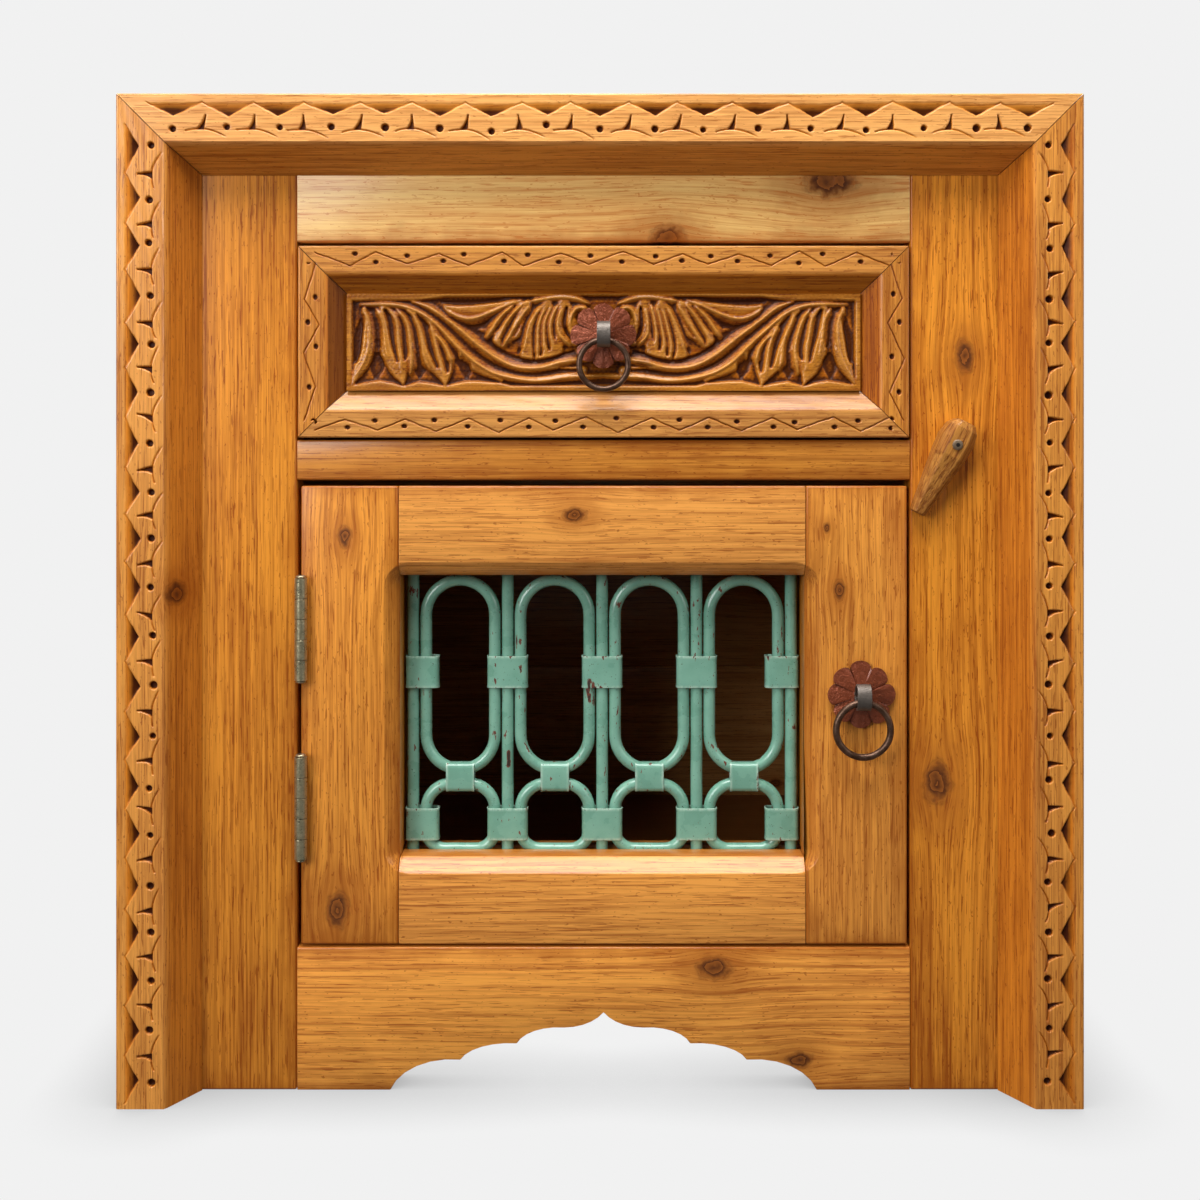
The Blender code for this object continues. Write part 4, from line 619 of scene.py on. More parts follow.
# plain boards: grain axis, tone, paleness, knots on the face (x, z, radius in mm)
boards = {
    "face_stile_left": ("Z", 0.93, 0.02, ()),
    "face_stile_right": ("Z", 1.02, 0.0, ((221.4, 445.2, 8.0), (205.0, 187.1, 11.0))),
    # the top rail is brighter and paler as painted light: the sheen on the top of the front, and making up for
    # the top moulding's shadow
    "top_rail": ("X", 1.32, 0.82, ((41.0, 517.5, 9.5), (139.4, 551.5, 13.0))),
    "middle_rail": ("X", 0.8, 0.1, ()),
    "apron_rail": ("X", 1.18, 0.2, ((69.5, 74.1, 9.0), (121.2, 19.4, 6.5))),
    "door_stile_left": ("Z", 0.97, 0.1, ((-155.2, 335.9, 5.5), (-159.4, 109.3, 9.0))),
    "door_stile_right": ("Z", 0.96, 0.15, ((145.5, 303.7, 5.0), (138.0, 341.0, 2.6))),
    "door_rail_top": ("X", 1.0, 0.3, ((-15.5, 349.3, 6.0),)),
    "door_rail_bottom": ("X", 1.0, 0.25, ()),
    "grille_bead_top": ("X", 0.6, 0.0, ()),
    "grille_bead_bottom": ("X", 0.9, 0.3, ()),
    "grille_bead_left": ("Z", 0.6, 0.0, ()),
    "grille_bead_right": ("Z", 0.6, 0.0, ()),
    "side_panel_left": ("Z", 0.95, 0.0, ()),
    "side_panel_right": ("Z", 0.95, 0.0, ()),
    "top_board": ("X", 1.0, 0.1, ()),
    "floor_board": ("X", 0.42, 0.4, ()),
    "drawer_shelf": ("X", 0.35, 0.0, ()),
    "back_plank_1": ("X", 0.75, 0.7, ((-92.0, 128.0, 6.0), (150.0, 96.0, 5.0))),
    "back_plank_2": ("X", 0.6, 0.7, ((140.0, 262.0, 7.0),)),
    "back_plank_3": ("X", 0.85, 0.7, ((-34.0, 392.0, 8.0),)),
    "back_plank_4": ("X", 0.65, 0.7, ((84.0, 522.0, 6.0), (-170.0, 545.0, 5.0))),
    "drawer_guide_left": ("Y", 0.5, 0.0, ()),
    "drawer_guide_right": ("Y", 0.5, 0.0, ()),
    "drawer_front_board": ("X", 0.7, 0.0, ()),
    "drawer_side_left": ("Y", 0.9, 0.2, ()),
    "drawer_side_right": ("Y", 0.9, 0.2, ()),
    "drawer_back": ("X", 0.9, 0.2, ()),
    "drawer_bottom": ("X", 0.85, 0.2, ()),
}




plankCount = 4
faceLimit = -140 * mm  # boards that reach further forward are on the face
sillKeptClear = 30 * mm  # the door's lower rail is kept clear of the painted shade and grime along its top and bottom edges


def closePlankGaps(meshes):
    # the back planks are driven up tight, so no light shows between them
    for number in range(1, plankCount):
        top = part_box(f"back_plank_{number}")[1][2]
        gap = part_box(f"back_plank_{number + 1}")[0][2] - top
        for vert in meshes[f"back_plank_{number}"].vertices:
            if vert.co.z > top - 1 * mm:
                vert.co.z += gap


boardMeshes = {node: softBoard(node) for node in boards}
closePlankGaps(boardMeshes)
for node, (along, tone, pale, knots) in boards.items():
    low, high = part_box(node)
    onFace = low[1] < faceLimit and not node.startswith(("side", "drawer", "top_board"))
    atEdge = sillKeptClear if node == "door_rail_bottom" else 0.0
    edges = ((high[0] - low[0]) / 2, (high[2] - low[2]) / 2 + atEdge) if onFace else None
    finish = makeWood(node + "_pine", along, middleOf(node), tone, knots=knots, pale=pale, edges=edges)
    standFor(node, boardMeshes[node], finish)
print("boards dressed:", len(boards))


# mitred mouldings, carved on their front strip
def sweepMoulding(name, side, rect, profile, steps, squareFoot, gap=0.3 * mm):
    # the profile is a closed ring of (inset from the outside, y); the ends are cut to the mitre
    bm = bmesh.new()
    bmesh.ops.create_grid(bm, x_segments=steps, y_segments=len(profile), size=0.5)
    closed = profile + profile[:1]
    for vert in bm.verts:
        inset, y = closed[round((vert.co.y + 0.5) * len(profile))]
        vert.co = (vert.co.x + 0.5, y, inset)
    seam = [vert for vert in bm.verts if vert.is_boundary]
    bmesh.ops.remove_doubles(bm, verts=seam, dist=1e-7)
    closeEnds(bm)
    faceOut(bm)
    mesh = finishMesh(bm, name, 32)
    share, depth, inset = placesOf(mesh).T.copy()
    left, right, bottom, top = rect
    if side in ("top", "bottom"):
        along = (left + inset + gap) * (1 - share) + (right - inset - gap) * share
        placed = np.stack((along, depth, top - inset if side == "top" else bottom + inset), axis=1)
    else:
        foot = np.full_like(inset, bottom) if squareFoot else bottom + inset + gap
        along = foot * (1 - share) + (top - inset - gap) * share
        placed = np.stack((left + inset if side == "left" else right - inset, depth, along), axis=1)
    return mesh, placed, along, inset


def storePlaces(mesh, placed, cut, turnedOver):
    mesh.vertices.foreach_set("co", placed.astype(np.float32).ravel())
    markPoints(mesh, "cut", cut)
    if turnedOver:
        mesh.flip_normals()
    mesh.update()


def stripProfile(strip, splay, front, foot, back, across, roundOuter=1.1 * mm, roundInner=0.7 * mm):
    # outer arris, the finely divided front strip, the splay and the flat back
    flat = [(inset, front) for inset in np.linspace(roundOuter, strip - roundInner, across)]
    corner = [(roundOuter * (1 - math.cos(a)), front + roundOuter * (1 - math.sin(a)))
              for a in np.radians((0, 30, 60))]
    slope = [(strip + splay * t, front + (foot - front) * t) for t in np.linspace(0.06, 1.0, 9)]
    rest = [(strip + splay, back)] if back - foot > 0.1 * mm else []
    return corner + flat + slope + rest + [(0.0, back)]


def handWobble(along, inset, size, scale, seed):
    # small unevenness of a hand tool, smooth along the strip
    return size * (np.sin(along * scale + seed) + 0.6 * np.sin(along * scale * 2.3 + 1.7 * seed)
                   + 0.4 * np.sin(inset * 900 + along * scale * 4.1))


outerCarving = {
    "strip": 29.0 * mm, "across": 62, "step": 0.55 * mm, "squareFoot": True, "footRoom": 3.0 * mm,
    "darkAt": 1.6 * mm, "knots": {"left": ((-252.4, 303.7, 6.0),)},
    # tone, paleness, then stain and painted shade on the splay; the top is paler as painted light from above
    "looks": {"top": (0.99, 0.6, 0.42), "left": (0.91, 0.25, 0.42), "right": (0.90, 0.2, 0.42)},
    "pitch": {"top": 32.2 * mm, "left": 28.4 * mm, "right": 28.4 * mm},
    "border": 5.4 * mm, "point": 13.4 * mm, "depth": 2.7 * mm, "wall": 0.6 * mm,
    "outline": (0.7 * mm, 0.8 * mm),  # half width, depth
    "hole": (20.6 * mm, 1.9 * mm, 2.6 * mm),  # inset, radius, depth
    "tick": (12.6 * mm, 21.0 * mm, 2.0 * mm),  # top, foot, depth
    "line": (1.2 * mm, 0.62 * mm),  # depth, half width
    "scallop": (0.32, 0.44),  # reach to either side of its peak, in pitches
    # how far the hand strays; a peak in pitches
    "stray": {"peak": 0.035, "valley": 0.9 * mm, "border": 0.25 * mm, "point": 0.55 * mm,
              "holeAlong": 0.8 * mm, "holeInset": 0.7 * mm},
}


def carveOuterStrip(side, along, inset, start, end):
    # chips between the border and the teeth, a drilled hole under each valley,
    # a tick and scallops under each peak
    plan = outerCarving
    stray = plan["stray"]
    pitch = plan["pitch"][side]
    dice = np.random.default_rng(len(side) * 7 + 3)
    count = int(round((end - start) / pitch))
    peaks = np.linspace(start, end, count + 1)
    peaks[1:-1] += dice.normal(0, stray["peak"], count - 1) * pitch
    valleys = (peaks[:-1] + peaks[1:]) / 2 + dice.normal(0, stray["valley"], count)
    border = plan["border"] + dice.normal(0, stray["border"], count)
    point = plan["point"] + dice.normal(0, stray["point"], count)
    deep = plan["depth"] * dice.uniform(0.75, 1.15, count)
    edgeInset = inset + handWobble(along, inset, 0.13 * mm, 400, len(side))
    tooth = np.clip(np.searchsorted(peaks, along) - 1, 0, count - 1)
    valley = valleys[tooth]
    rising = np.where(along < valley, (along - peaks[tooth]) / (valley - peaks[tooth]),
                      (peaks[tooth + 1] - along) / (peaks[tooth + 1] - valley))
    zigzag = border[tooth] + (point - border)[tooth] * unit(rising)
    floor = deep[tooth] * unit((edgeInset - border[tooth]) / (point - border)[tooth])
    within = (along > start) & (along < end)
    cut = floor * unit((zigzag - edgeInset) / plan["wall"] + 0.5) * within
    outlineHalf, outlineDepth = plan["outline"]
    incised = unit(1 - np.abs(edgeInset - zigzag) / outlineHalf) * outlineDepth * within
    cut = np.maximum(cut, incised)

    holeInset, holeRadius, holeDepth = plan["hole"]
    holeAlong = valley + dice.normal(0, stray["holeAlong"], count)[tooth]
    holeInset = holeInset + dice.normal(0, stray["holeInset"], count)[tooth]
    reach = np.hypot(along - holeAlong, inset - holeInset)
    radius = holeRadius * dice.uniform(0.85, 1.15, count)[tooth]
    cut = np.maximum(cut, holeDepth * unit((radius - reach) / (0.6 * mm) + 0.5) * within)

    nearest = np.clip(np.searchsorted((peaks[:-1] + peaks[1:]) / 2, along), 0, count)
    inner = (nearest > 0) & (nearest < count) & within
    tickTop, tickFoot, tickDepth = plan["tick"]
    lean = dice.uniform(-0.25, 0.25, count + 1)[nearest]
    share = unit((inset - tickTop) / (tickFoot - tickTop))
    aside = along - peaks[nearest] - lean * (inset - tickFoot) + 1.2 * mm * share ** 3
    half = (0.35 + 1.75 * share ** 1.9) * mm
    ends = (inset > tickTop) & (inset < tickFoot + 0.5 * mm)
    cut = np.maximum(cut, tickDepth * unit((half - np.abs(aside)) / (0.5 * mm) + 0.4) * ends * inner)

    lineDepth, lineHalf = plan["line"]
    before, after = plan["scallop"]
    spread = (along - peaks[nearest]) / pitch
    rise = dice.uniform(-0.4, 0.6, count + 1)[nearest] * mm
    afterDroop = dice.uniform(4.0, 6.6, count + 1)[nearest] * mm
    beforeDroop = dice.uniform(0.5, 2.2, count + 1)[nearest] * mm
    droop = np.where(spread > 0, np.abs(spread / after) ** 1.7 * afterDroop,
                     np.abs(spread / before) ** 2.5 * beforeDroop)
    reached = (spread > -before) & (spread < after)
    fading = np.clip((0.46 - np.abs(spread)) / 0.12, 0.3, 1)
    scallop = unit(1 - np.abs(inset - tickFoot - rise - droop) / lineHalf) * reached * fading
    return np.maximum(cut, lineDepth * scallop * inner)


drawerCarving = {
    "strip": 16.5 * mm, "across": 40, "step": 0.5 * mm, "squareFoot": False, "footRoom": 0.0,
    "darkAt": 0.85 * mm, "knots": {}, "splay": 11.8 * mm, "splayDepth": 9.5 * mm,
    # tone, paleness, then stain and painted shade on the splay, heaviest where a splay faces down or away from
    # the light; the bottom is paler as a painted sheen on its up-facing splay
    "looks": {"top": (0.86, 0.3, 0.66), "bottom": (0.76, 0.4, 0.0), "left": (0.85, 0.15, 0.84),
              "right": (0.85, 0.15, 0.58)},
    "halfPitch": 18.2 * mm, "middle": 8.0 * mm, "swing": 4.4 * mm, "lineDepth": 0.8 * mm, "lineHalf": 0.5 * mm,
    "dotRadius": 1.6 * mm, "dotDepth": 1.5 * mm, "dotSoft": 0.7 * mm,
    "stray": {"turn": 2.1 * mm, "dot": 1.5 * mm},
}


def carveDrawerStrip(side, along, inset, start, end):
    # an incised zigzag with punched dots in its angles
    plan = drawerCarving
    dice = np.random.default_rng(len(side) * 11 + 5)
    count = max(int(round((end - start) / plan["halfPitch"])), 3)
    turns = np.linspace(start, end, count + 1)
    turns[1:-1] += dice.normal(0, plan["stray"]["turn"], count - 1)
    swing = np.where(np.arange(count + 1) % 2, 1, -1) * plan["swing"] * dice.uniform(0.6, 1.15, count + 1)
    line = plan["middle"] + np.interp(along, turns, swing)
    line = line + handWobble(along, inset, 0.12 * mm, 300, len(side))
    slope = plan["swing"] * 2 / plan["halfPitch"]
    off = np.abs(inset - line) / math.hypot(1, slope)
    within = (along > start) & (along < end)
    cut = plan["lineDepth"] * unit(1.15 - off / plan["lineHalf"]) * within
    nearest = np.clip(np.searchsorted((turns[:-1] + turns[1:]) / 2, along), 0, count)
    dotAlong = (turns + dice.normal(0, plan["stray"]["dot"], count + 1))[nearest]
    dotInset = (plan["middle"] - swing * dice.uniform(0.35, 0.75, count + 1))[nearest]
    reach = np.hypot((along - dotAlong) * 0.8, inset - dotInset)
    dot = plan["dotDepth"] * unit((plan["dotRadius"] - reach) / plan["dotSoft"])
    return np.maximum(cut, dot * within)


def carvedMoulding(node, side, rect, plan, splay, front, foot, back, carve):
    left, right, bottom, top = rect
    lying = side in ("top", "bottom")
    low, high = (left, right) if lying else (bottom, top)
    strip = plan["strip"]
    tone, pale, splayStainAndShade = plan["looks"][side]
    profile = stripProfile(strip, splay, front, foot, back, plan["across"])
    steps = int((high - low) / plan["step"])
    mesh, placed, along, inset = sweepMoulding(node, side, rect, profile, steps, plan["squareFoot"])
    onStrip = (np.abs(placed[:, 1] - front) < 0.01 * mm) & (inset > 1.5 * mm) & (inset < strip - 1.0 * mm)
    corner = strip * 0.62  # the carving stops here before a mitre
    start = low + (plan["footRoom"] if plan["squareFoot"] and side != "top" else corner)
    depth = carve(side, along, inset, start, high - corner) * onStrip
    placed[:, 1] += depth
    # planed by hand: the strip and the splay are not quite flat
    placed[:, 1] += onStrip * np.abs(handWobble(along, inset, 0.05 * mm, 61, len(side)))
    onSplay = (inset > strip) & (placed[:, 1] < foot - 0.2 * mm) & (placed[:, 1] > front + 0.2 * mm)
    placed[:, 1] += onSplay * np.abs(handWobble(along, inset, 0.10 * mm, 37, len(node)))
    # painted shade by each cut's depth
    shade = unit(depth / plan["darkAt"]) ** 0.65
    # the splay's stain and painted shade
    stainAndShade = unit((inset - strip) / (1.5 * mm)) * splayStainAndShade
    storePlaces(mesh, placed, np.maximum(shade, stainAndShade), side in ("top", "right"))
    finish = makeWood(node + "_pine", "X" if lying else "Z", middleOf(node), tone,
                      knots=plan["knots"].get(side, ()), carved=True, pale=pale)
    standFor(node, mesh, finish)


def makeOuterMouldings():
    low, high = cadBounds
    rect = (low[0], high[0], low[2], high[2])
    faceLow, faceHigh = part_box("frame_moulding_left")
    splay = (faceHigh[0] - faceLow[0]) - outerCarving["strip"]
    for side in outerCarving["looks"]:
        carvedMoulding("frame_moulding_" + side, side, rect, outerCarving, splay, faceLow[1], faceHigh[1],
                       faceHigh[1], carveOuterStrip)


def makeDrawerMouldings():
    sides = {side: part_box("drawer_moulding_" + side) for side in drawerCarving["looks"]}
    rect = (sides["left"][0][0], sides["right"][1][0], sides["bottom"][0][2], sides["top"][1][2])
    front, back = sides["top"][0][1], sides["top"][1][1]
    foot = front + drawerCarving["splayDepth"]
    for side in sides:
        carvedMoulding("drawer_moulding_" + side, side, rect, drawerCarving, drawerCarving["splay"], front, foot,
                       back, carveDrawerStrip)


makeOuterMouldings()
makeDrawerMouldings()
print("mouldings carved")


# acanthus panel of the drawer, carved by height
acanthus = {
    "cell": 0.5 * mm, "border": 3.0, "ground": 0.9,
    # all in mm from the panel's lower left corner; the right half mirrors these
    "bodies": (  # leaf masses: spine, half widths along it, height
        (((10, 50), (12, 38), (10.5, 22), (4, 4)), (1.5, 4.5, 5.5, 4.5, 0.8), 3.2),
        (((22, 50), (28.5, 38), (30.5, 24), (31, 14), (35, 3.5)), (3, 8, 10.5, 10, 6, 0.8), 3.4),
        (((38, 48), (48, 36), (55, 22), (58.5, 12), (60, 3.8)), (3, 7, 11, 11, 7, 0.8), 3.4),
        (((40, 46), (56, 36), (66, 26), (75, 17), (84, 11), (94, 6)), (1, 4, 5, 4, 3, 1), 2.8),
        (((110, 54), (100, 43), (93, 31)), (2, 7, 10, 9, 4.5), 3.3),
        (((122, 53), (118, 40), (118, 28), (119, 19.5)), (3, 9, 12, 14, 12), 3.4),
        (((60, 52), (73, 48), (84, 49), (102, 55)), (1, 4, 4, 1), 2.8),
        (((132, 53), (134, 42), (139, 30)), (4, 6, 6, 3), 3.0),
        (((98, 9), (118, 8.6), (144, 12)), (2, 3, 3, 3), 3.0),
    ),
    "hollows": (  # gouged flutes: line, half width, depth
        (((9.6, 46), (8.6, 38), (7, 29), (5, 18)), 2.4, 2.8),
        (((13, 50.5), (18, 44), (20.3, 36), (20, 27)), 2.5, 3.0),
        (((23, 49), (27.5, 40), (29.6, 30), (30.6, 18)), 2.5, 2.7),
        (((31.5, 44), (35, 36), (36.6, 27), (35, 19)), 2.4, 2.6),
        (((32, 49.5), (40, 41), (43.5, 32), (44.5, 22)), 2.6, 3.0),
        (((43, 46), (49, 37), (52, 28), (55, 15)), 2.7, 2.7),
        (((54, 33), (58, 27), (60.5, 20), (61, 12)), 2.2, 2.4),
        (((54, 40), (62, 32), (66.5, 24), (68.5, 16)), 2.2, 2.8),
        (((38, 51.5), (52, 47.5), (64, 37), (76, 26.5), (88, 17), (100, 11.8), (118, 10.2), (140, 12)),
         2.6, 3.0),
        (((52, 52.5), (62, 47), (70, 40.5), (80, 34), (86, 28), (94, 21.8), (104, 18.2), (114, 16.8), (126, 18.4),
          (138, 23.5)), 2.5, 3.2),
        (((50, 44.5), (60, 36.5), (68, 28), (74, 21)), 1.6, 1.8),
        (((64, 43), (72, 40.8), (82, 40), (90, 44), (98, 50)), 2.4, 2.8),
        (((58, 54.8), (68, 54.2), (80, 53.4), (92, 54.6), (100, 56)), 1.2, 2.0),
        (((103, 52), (96, 44.5), (90, 37), (87, 33.5)), 1.8, 2.4),
        (((107, 52.5), (100, 43), (95, 33), (94.5, 28)), 1.9, 2.4),
        (((111.5, 50), (105.5, 41), (101, 33)), 1.3, 1.6),
        (((115, 50), (110, 41), (107, 32), (105, 24)), 1.9, 3.0),
        (((119, 49), (115.5, 39), (114, 29), (114.5, 20)), 1.7, 2.4),
        (((123, 49.5), (119.5, 40), (118.5, 30), (118, 21.5)), 1.6, 2.3),
        (((126.3, 49.5), (123, 40), (122.4, 31), (123, 25)), 1.6, 2.3),
        (((129, 49), (126, 40), (126.8, 31)), 1.4, 1.9),
        (((133.8, 50.5), (132.8, 43), (134, 36), (138, 30)), 1.4, 2.5),
        (((138.8, 47.2), (142.5, 45)), 2.6, 2.8),
        (((18, 22), (18, 9)), 3.4, 2.6), (((43.8, 22), (44, 9)), 3.2, 2.6), (((71.5, 21), (72.5, 9)), 3.4, 2.4),
    ),
    "crests": (  # ridges left standing between the flutes
        ((9.8, 49.5), (13, 44), (14.8, 36), (13.8, 28), (10, 17), (4.5, 6)),
        ((17.5, 50), (22, 43), (23.6, 35), (23.8, 27), (25, 18)),
        ((27.5, 48), (31, 40), (32, 30), (32.2, 20), (33.5, 8)),
        ((29.5, 50), (36, 42.5), (39, 33), (39.6, 23), (38.2, 10)),
        ((39.5, 47), (44, 38), (46.6, 30), (47.4, 20), (50, 13)),
        ((50.5, 40.5), (54.5, 30), (56.8, 19), (59, 7)),
        ((53, 35), (58, 31), (62, 25), (64.2, 17)),
        ((8, 53), (25, 53), (40, 50), (52, 43), (62, 33), (70, 25), (77, 18.5), (85, 12.5), (92, 9.5), (105, 7),
         (120, 5.8), (135, 8), (157, 9.5)),
        ((40, 54), (50, 51.5), (60, 44.5), (70, 36), (80, 27.5), (90, 20.5), (100, 15.5), (110, 13.8), (120, 14),
         (130, 17), (150, 20)),
        ((60, 50.5), (66, 46), (73, 43.7), (80, 44.2), (90, 48.2), (100, 53.4), (106, 55.4)),
        ((102, 52.5), (94, 45), (89, 38), (85, 32.5)),
        ((108, 54), (99, 44), (93.5, 35), (91, 29.5)),
        ((112, 53), (106, 44), (100, 35.5), (95, 27)),
        ((118, 51), (112.5, 42), (109.5, 34), (107.5, 24)),
        ((121, 51), (117.5, 41), (115.8, 31), (116, 20.5)),
        ((125, 52), (121, 42), (120, 32), (119.5, 24)),
        ((128, 52), (124.6, 42), (124.2, 33), (126, 25)),
        ((131, 51), (128.8, 41), (130, 33), (136, 27.5)),
        ((146, 49.8), (141.5, 51), (138, 48.5), (136.4, 43), (137, 37.5)),
        ((112, 55), (120, 56), (128, 56.8), (138, 56.5), (147, 53.5)),
    ),
    "crestHeight": 4.8, "crestFall": 2.0, "deeper": 1.2, "wider": 1.2,
    "hillAcross": (0, 5, 12, 20, 28, 34.5, 44, 50, 60, 72, 80, 94, 100, 158),
    "hillUp": (4, 4, 5.3, 6.3, 5, 3.0, 5.8, 5, 3.2, 6.0, 6.0, 5, 3.4, 3.4),
    "topAcross": (0, 45, 60, 158), "topUp": (54.6, 54.8, 57.0, 57.8),
}


def smoothPath(points, rounds=3):
    path = np.array(points, dtype=float)
    for _ in range(rounds):
        quarter = path[:-1] * 0.75 + path[1:] * 0.25
        threeQuarter = path[:-1] * 0.25 + path[1:] * 0.75
        path = np.concatenate((path[:1], np.stack((quarter, threeQuarter), 1).reshape(-1, 2), path[-1:]))
    return path


def alongPath(path, u, v):
    # for every point: share of the path passed, and signed distance from it
    steps = np.diff(path, axis=0)
    lengths = np.hypot(*steps.T)
    passed = np.concatenate(((0,), np.cumsum(lengths)))
    best = np.full(u.shape, 1e9)
    share = np.zeros(u.shape)
    signed = np.zeros(u.shape)
    for (x, y), (dx, dy), length, before in zip(path, steps, lengths, passed):
        t = np.clip(((u - x) * dx + (v - y) * dy) / length ** 2, 0, 1)
        offX, offY = u - x - t * dx, v - y - t * dy
        distance = np.hypot(offX, offY)
        closer = distance < best
        best = np.where(closer, distance, best)
        share = np.where(closer, (before + t * length) / passed[-1], share)
        signed = np.where(closer, np.sign(dx * offY - dy * offX) * distance, signed)
    return share, signed


def nearStroke(points, u, v, pad):
    path = smoothPath(points, 2)
    low, high = path.min(0) - pad, path.max(0) + pad
    spot = (u > low[0]) & (u < high[0]) & (v > low[1]) & (v < high[1])
    share, signed = alongPath(path, u[spot], v[spot])
    return spot, share, np.abs(signed)


def carveAcanthus(u, v):
    height = np.full(u.shape, acanthus["ground"])
    for spine, widths, top in acanthus["bodies"]:
        spot, share, away = nearStroke(spine, u, v, max(widths) + 1)
        q = away / np.interp(share, np.linspace(0, 1, len(widths)), widths)
        dome = np.where(q < 1, top * (0.5 + 0.5 * np.sqrt(np.clip(1 - q * q, 0, 1))), 0)
        height[spot] = np.maximum(height[spot], dome)
    for line, half, depth in acanthus["hollows"]:
        half *= acanthus["wider"]
        spot, share, away = nearStroke(line, u, v, half + 1)
        q = away / (half * np.clip(np.sin(math.pi * (0.06 + 0.88 * share)), 0.05, 1) ** 0.6)
        height[spot] -= depth * acanthus["deeper"] * np.clip(1 - q * q, 0, 1) ** 0.75
    for line in acanthus["crests"]:
        spot, share, away = nearStroke(line, u, v, 4.5)
        ends = np.clip(share / 0.08, 0, 1) * np.clip((1 - share) / 0.12, 0, 1)
        crest = acanthus["crestHeight"] * (0.72 + 0.28 * ends) - acanthus["crestFall"] * np.sqrt(away)
        height[spot] = np.where(away < 4.2, np.maximum(height[spot], crest), height[spot])
    return np.maximum(height, -1.4)


def blurRows(field, size):
    kernel = np.ones(size) / size
    for axis in (1, 0):
        field = np.apply_along_axis(
            lambda row: np.convolve(np.pad(row, size // 2, mode="edge"), kernel, "valid"), axis, field)
    return field


def makeCarvedPanel():
    low, high = (Vector(corner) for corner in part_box("carved_panel"))
    width, tall = (high.x - low.x) / mm, (high.z - low.z) / mm
    columns, rows = int(width * mm / acanthus["cell"]), int(tall * mm / acanthus["cell"])
    u, v = np.meshgrid(np.linspace(0, width, columns + 1), np.linspace(0, tall, rows + 1))
    mirrored = np.minimum(u, width - u)  # the right half repeats the left one, by hand
    handU = mirrored + 0.5 * np.sin(v * 0.21 + u * 0.045)
    handV = v + 0.35 * np.sin(u * 0.13)
    height = carveAcanthus(handU, handV)
    hill = np.interp(mirrored, acanthus["hillAcross"], acanthus["hillUp"])
    roof = np.interp(mirrored, acanthus["topAcross"], acanthus["topUp"])
    rim = np.minimum.reduce((mirrored - 3.4, roof - v, v - hill))
    band = np.clip(0.5 - rim / 1.4, 0, 1)
    height = np.maximum(height, acanthus["border"] * band)
    height = np.where(rim < -0.7, acanthus["border"], height)
    boss = np.hypot(u - width / 2, v - (tall / 2 + 4.2))
    height = np.where(boss < 15.0, np.minimum(height, 4.7), height)
    height = blurRows(height, 3)
    gougeMarks = np.sin(u * 2.1 + 1.3 * np.sin(v * 0.9)) * np.sin(v * 1.7 + 0.8 * np.sin(u * 0.6))
    height += 0.09 * gougeMarks
    # painted shade in the hollows and on the low ground; where hollow goes negative, on the crests, a painted
    # highlight
    hollow = np.clip((blurRows(height, 13) - height) / 1.1, -0.6, 1)
    shade = hollow * 0.85 + unit((3.2 - height) / 3.0) * 0.8

    bm = bmesh.new()
    bmesh.ops.create_grid(bm, x_segments=columns, y_segments=rows, size=0.5)
    outline = [edge for edge in bm.edges if edge.is_boundary]
    skirt = bmesh.ops.extrude_edge_only(bm, edges=outline)["geom"]
    back = [item for item in skirt if isinstance(item, bmesh.types.BMVert)]
    bmesh.ops.translate(bm, verts=back, vec=(0, 0, -1.0))
    closeEnds(bm)
    faceOut(bm)
    mesh = finishMesh(bm, "carved_panel", 60)
    x, y, z = placesOf(mesh).T
    column = np.rint((x + 0.5) * columns).astype(int)
    row = np.rint((y + 0.5) * rows).astype(int)
    onTop = z > -0.5
    ground = high.y - 3.5 * mm
    deep = np.where(onTop, ground - height[row, column] * mm, high.y)
    placed = np.stack((low.x + (x + 0.5) * width * mm, deep, low.z + (y + 0.5) * tall * mm), axis=1)
    storePlaces(mesh, placed, np.where(onTop, np.clip(shade[row, column], -0.5, 0.97), 0.3), False)
    finish = makeWood("carvedPanel_pine", "X", middleOf("carved_panel"), 0.62, rings=300, carved=True)
    standFor("carved_panel", mesh, finish)


makeCarvedPanel()
print("panel carved")


# jali grille
grille = {"shortLoop": 40.8 * mm, "loopApart": 9.0 * mm,
          "rodSides": 16, "strap": 0.9 * mm, "corner": 3.2 * mm, "dent": 0.10 * mm,
          "collarTall": 19.8 * mm, "middleRise": 110.1 * mm, "bottomRise": 15.1 * mm, "jointWide": 17.5 * mm,
          "topRadius": 16.0 * mm, "bottomRadius": 12.0 * mm}


def rodRing(bm, centre, radius):
    made = bmesh.ops.create_circle(bm, cap_ends=False, segments=grille["rodSides"], radius=radius,
                                   matrix=Matrix.Translation(centre))
    verts = made["verts"]
    return verts + list({edge for vert in verts for edge in vert.link_edges})


def runRod(bm, ring, travel, steps):
    made = bmesh.ops.spin(bm, geom=ring, cent=(0, 0, 0), axis=(0, 1, 0), dvec=Vector(travel) / steps, angle=0.0,
                          steps=steps)
    return made["geom_last"]


def turnRod(bm, ring, centre, angle, steps):
    made = bmesh.ops.spin(bm, geom=ring, cent=centre, axis=(0, 1, 0), dvec=(0, 0, 0), angle=angle, steps=steps)
    return made["geom_last"]


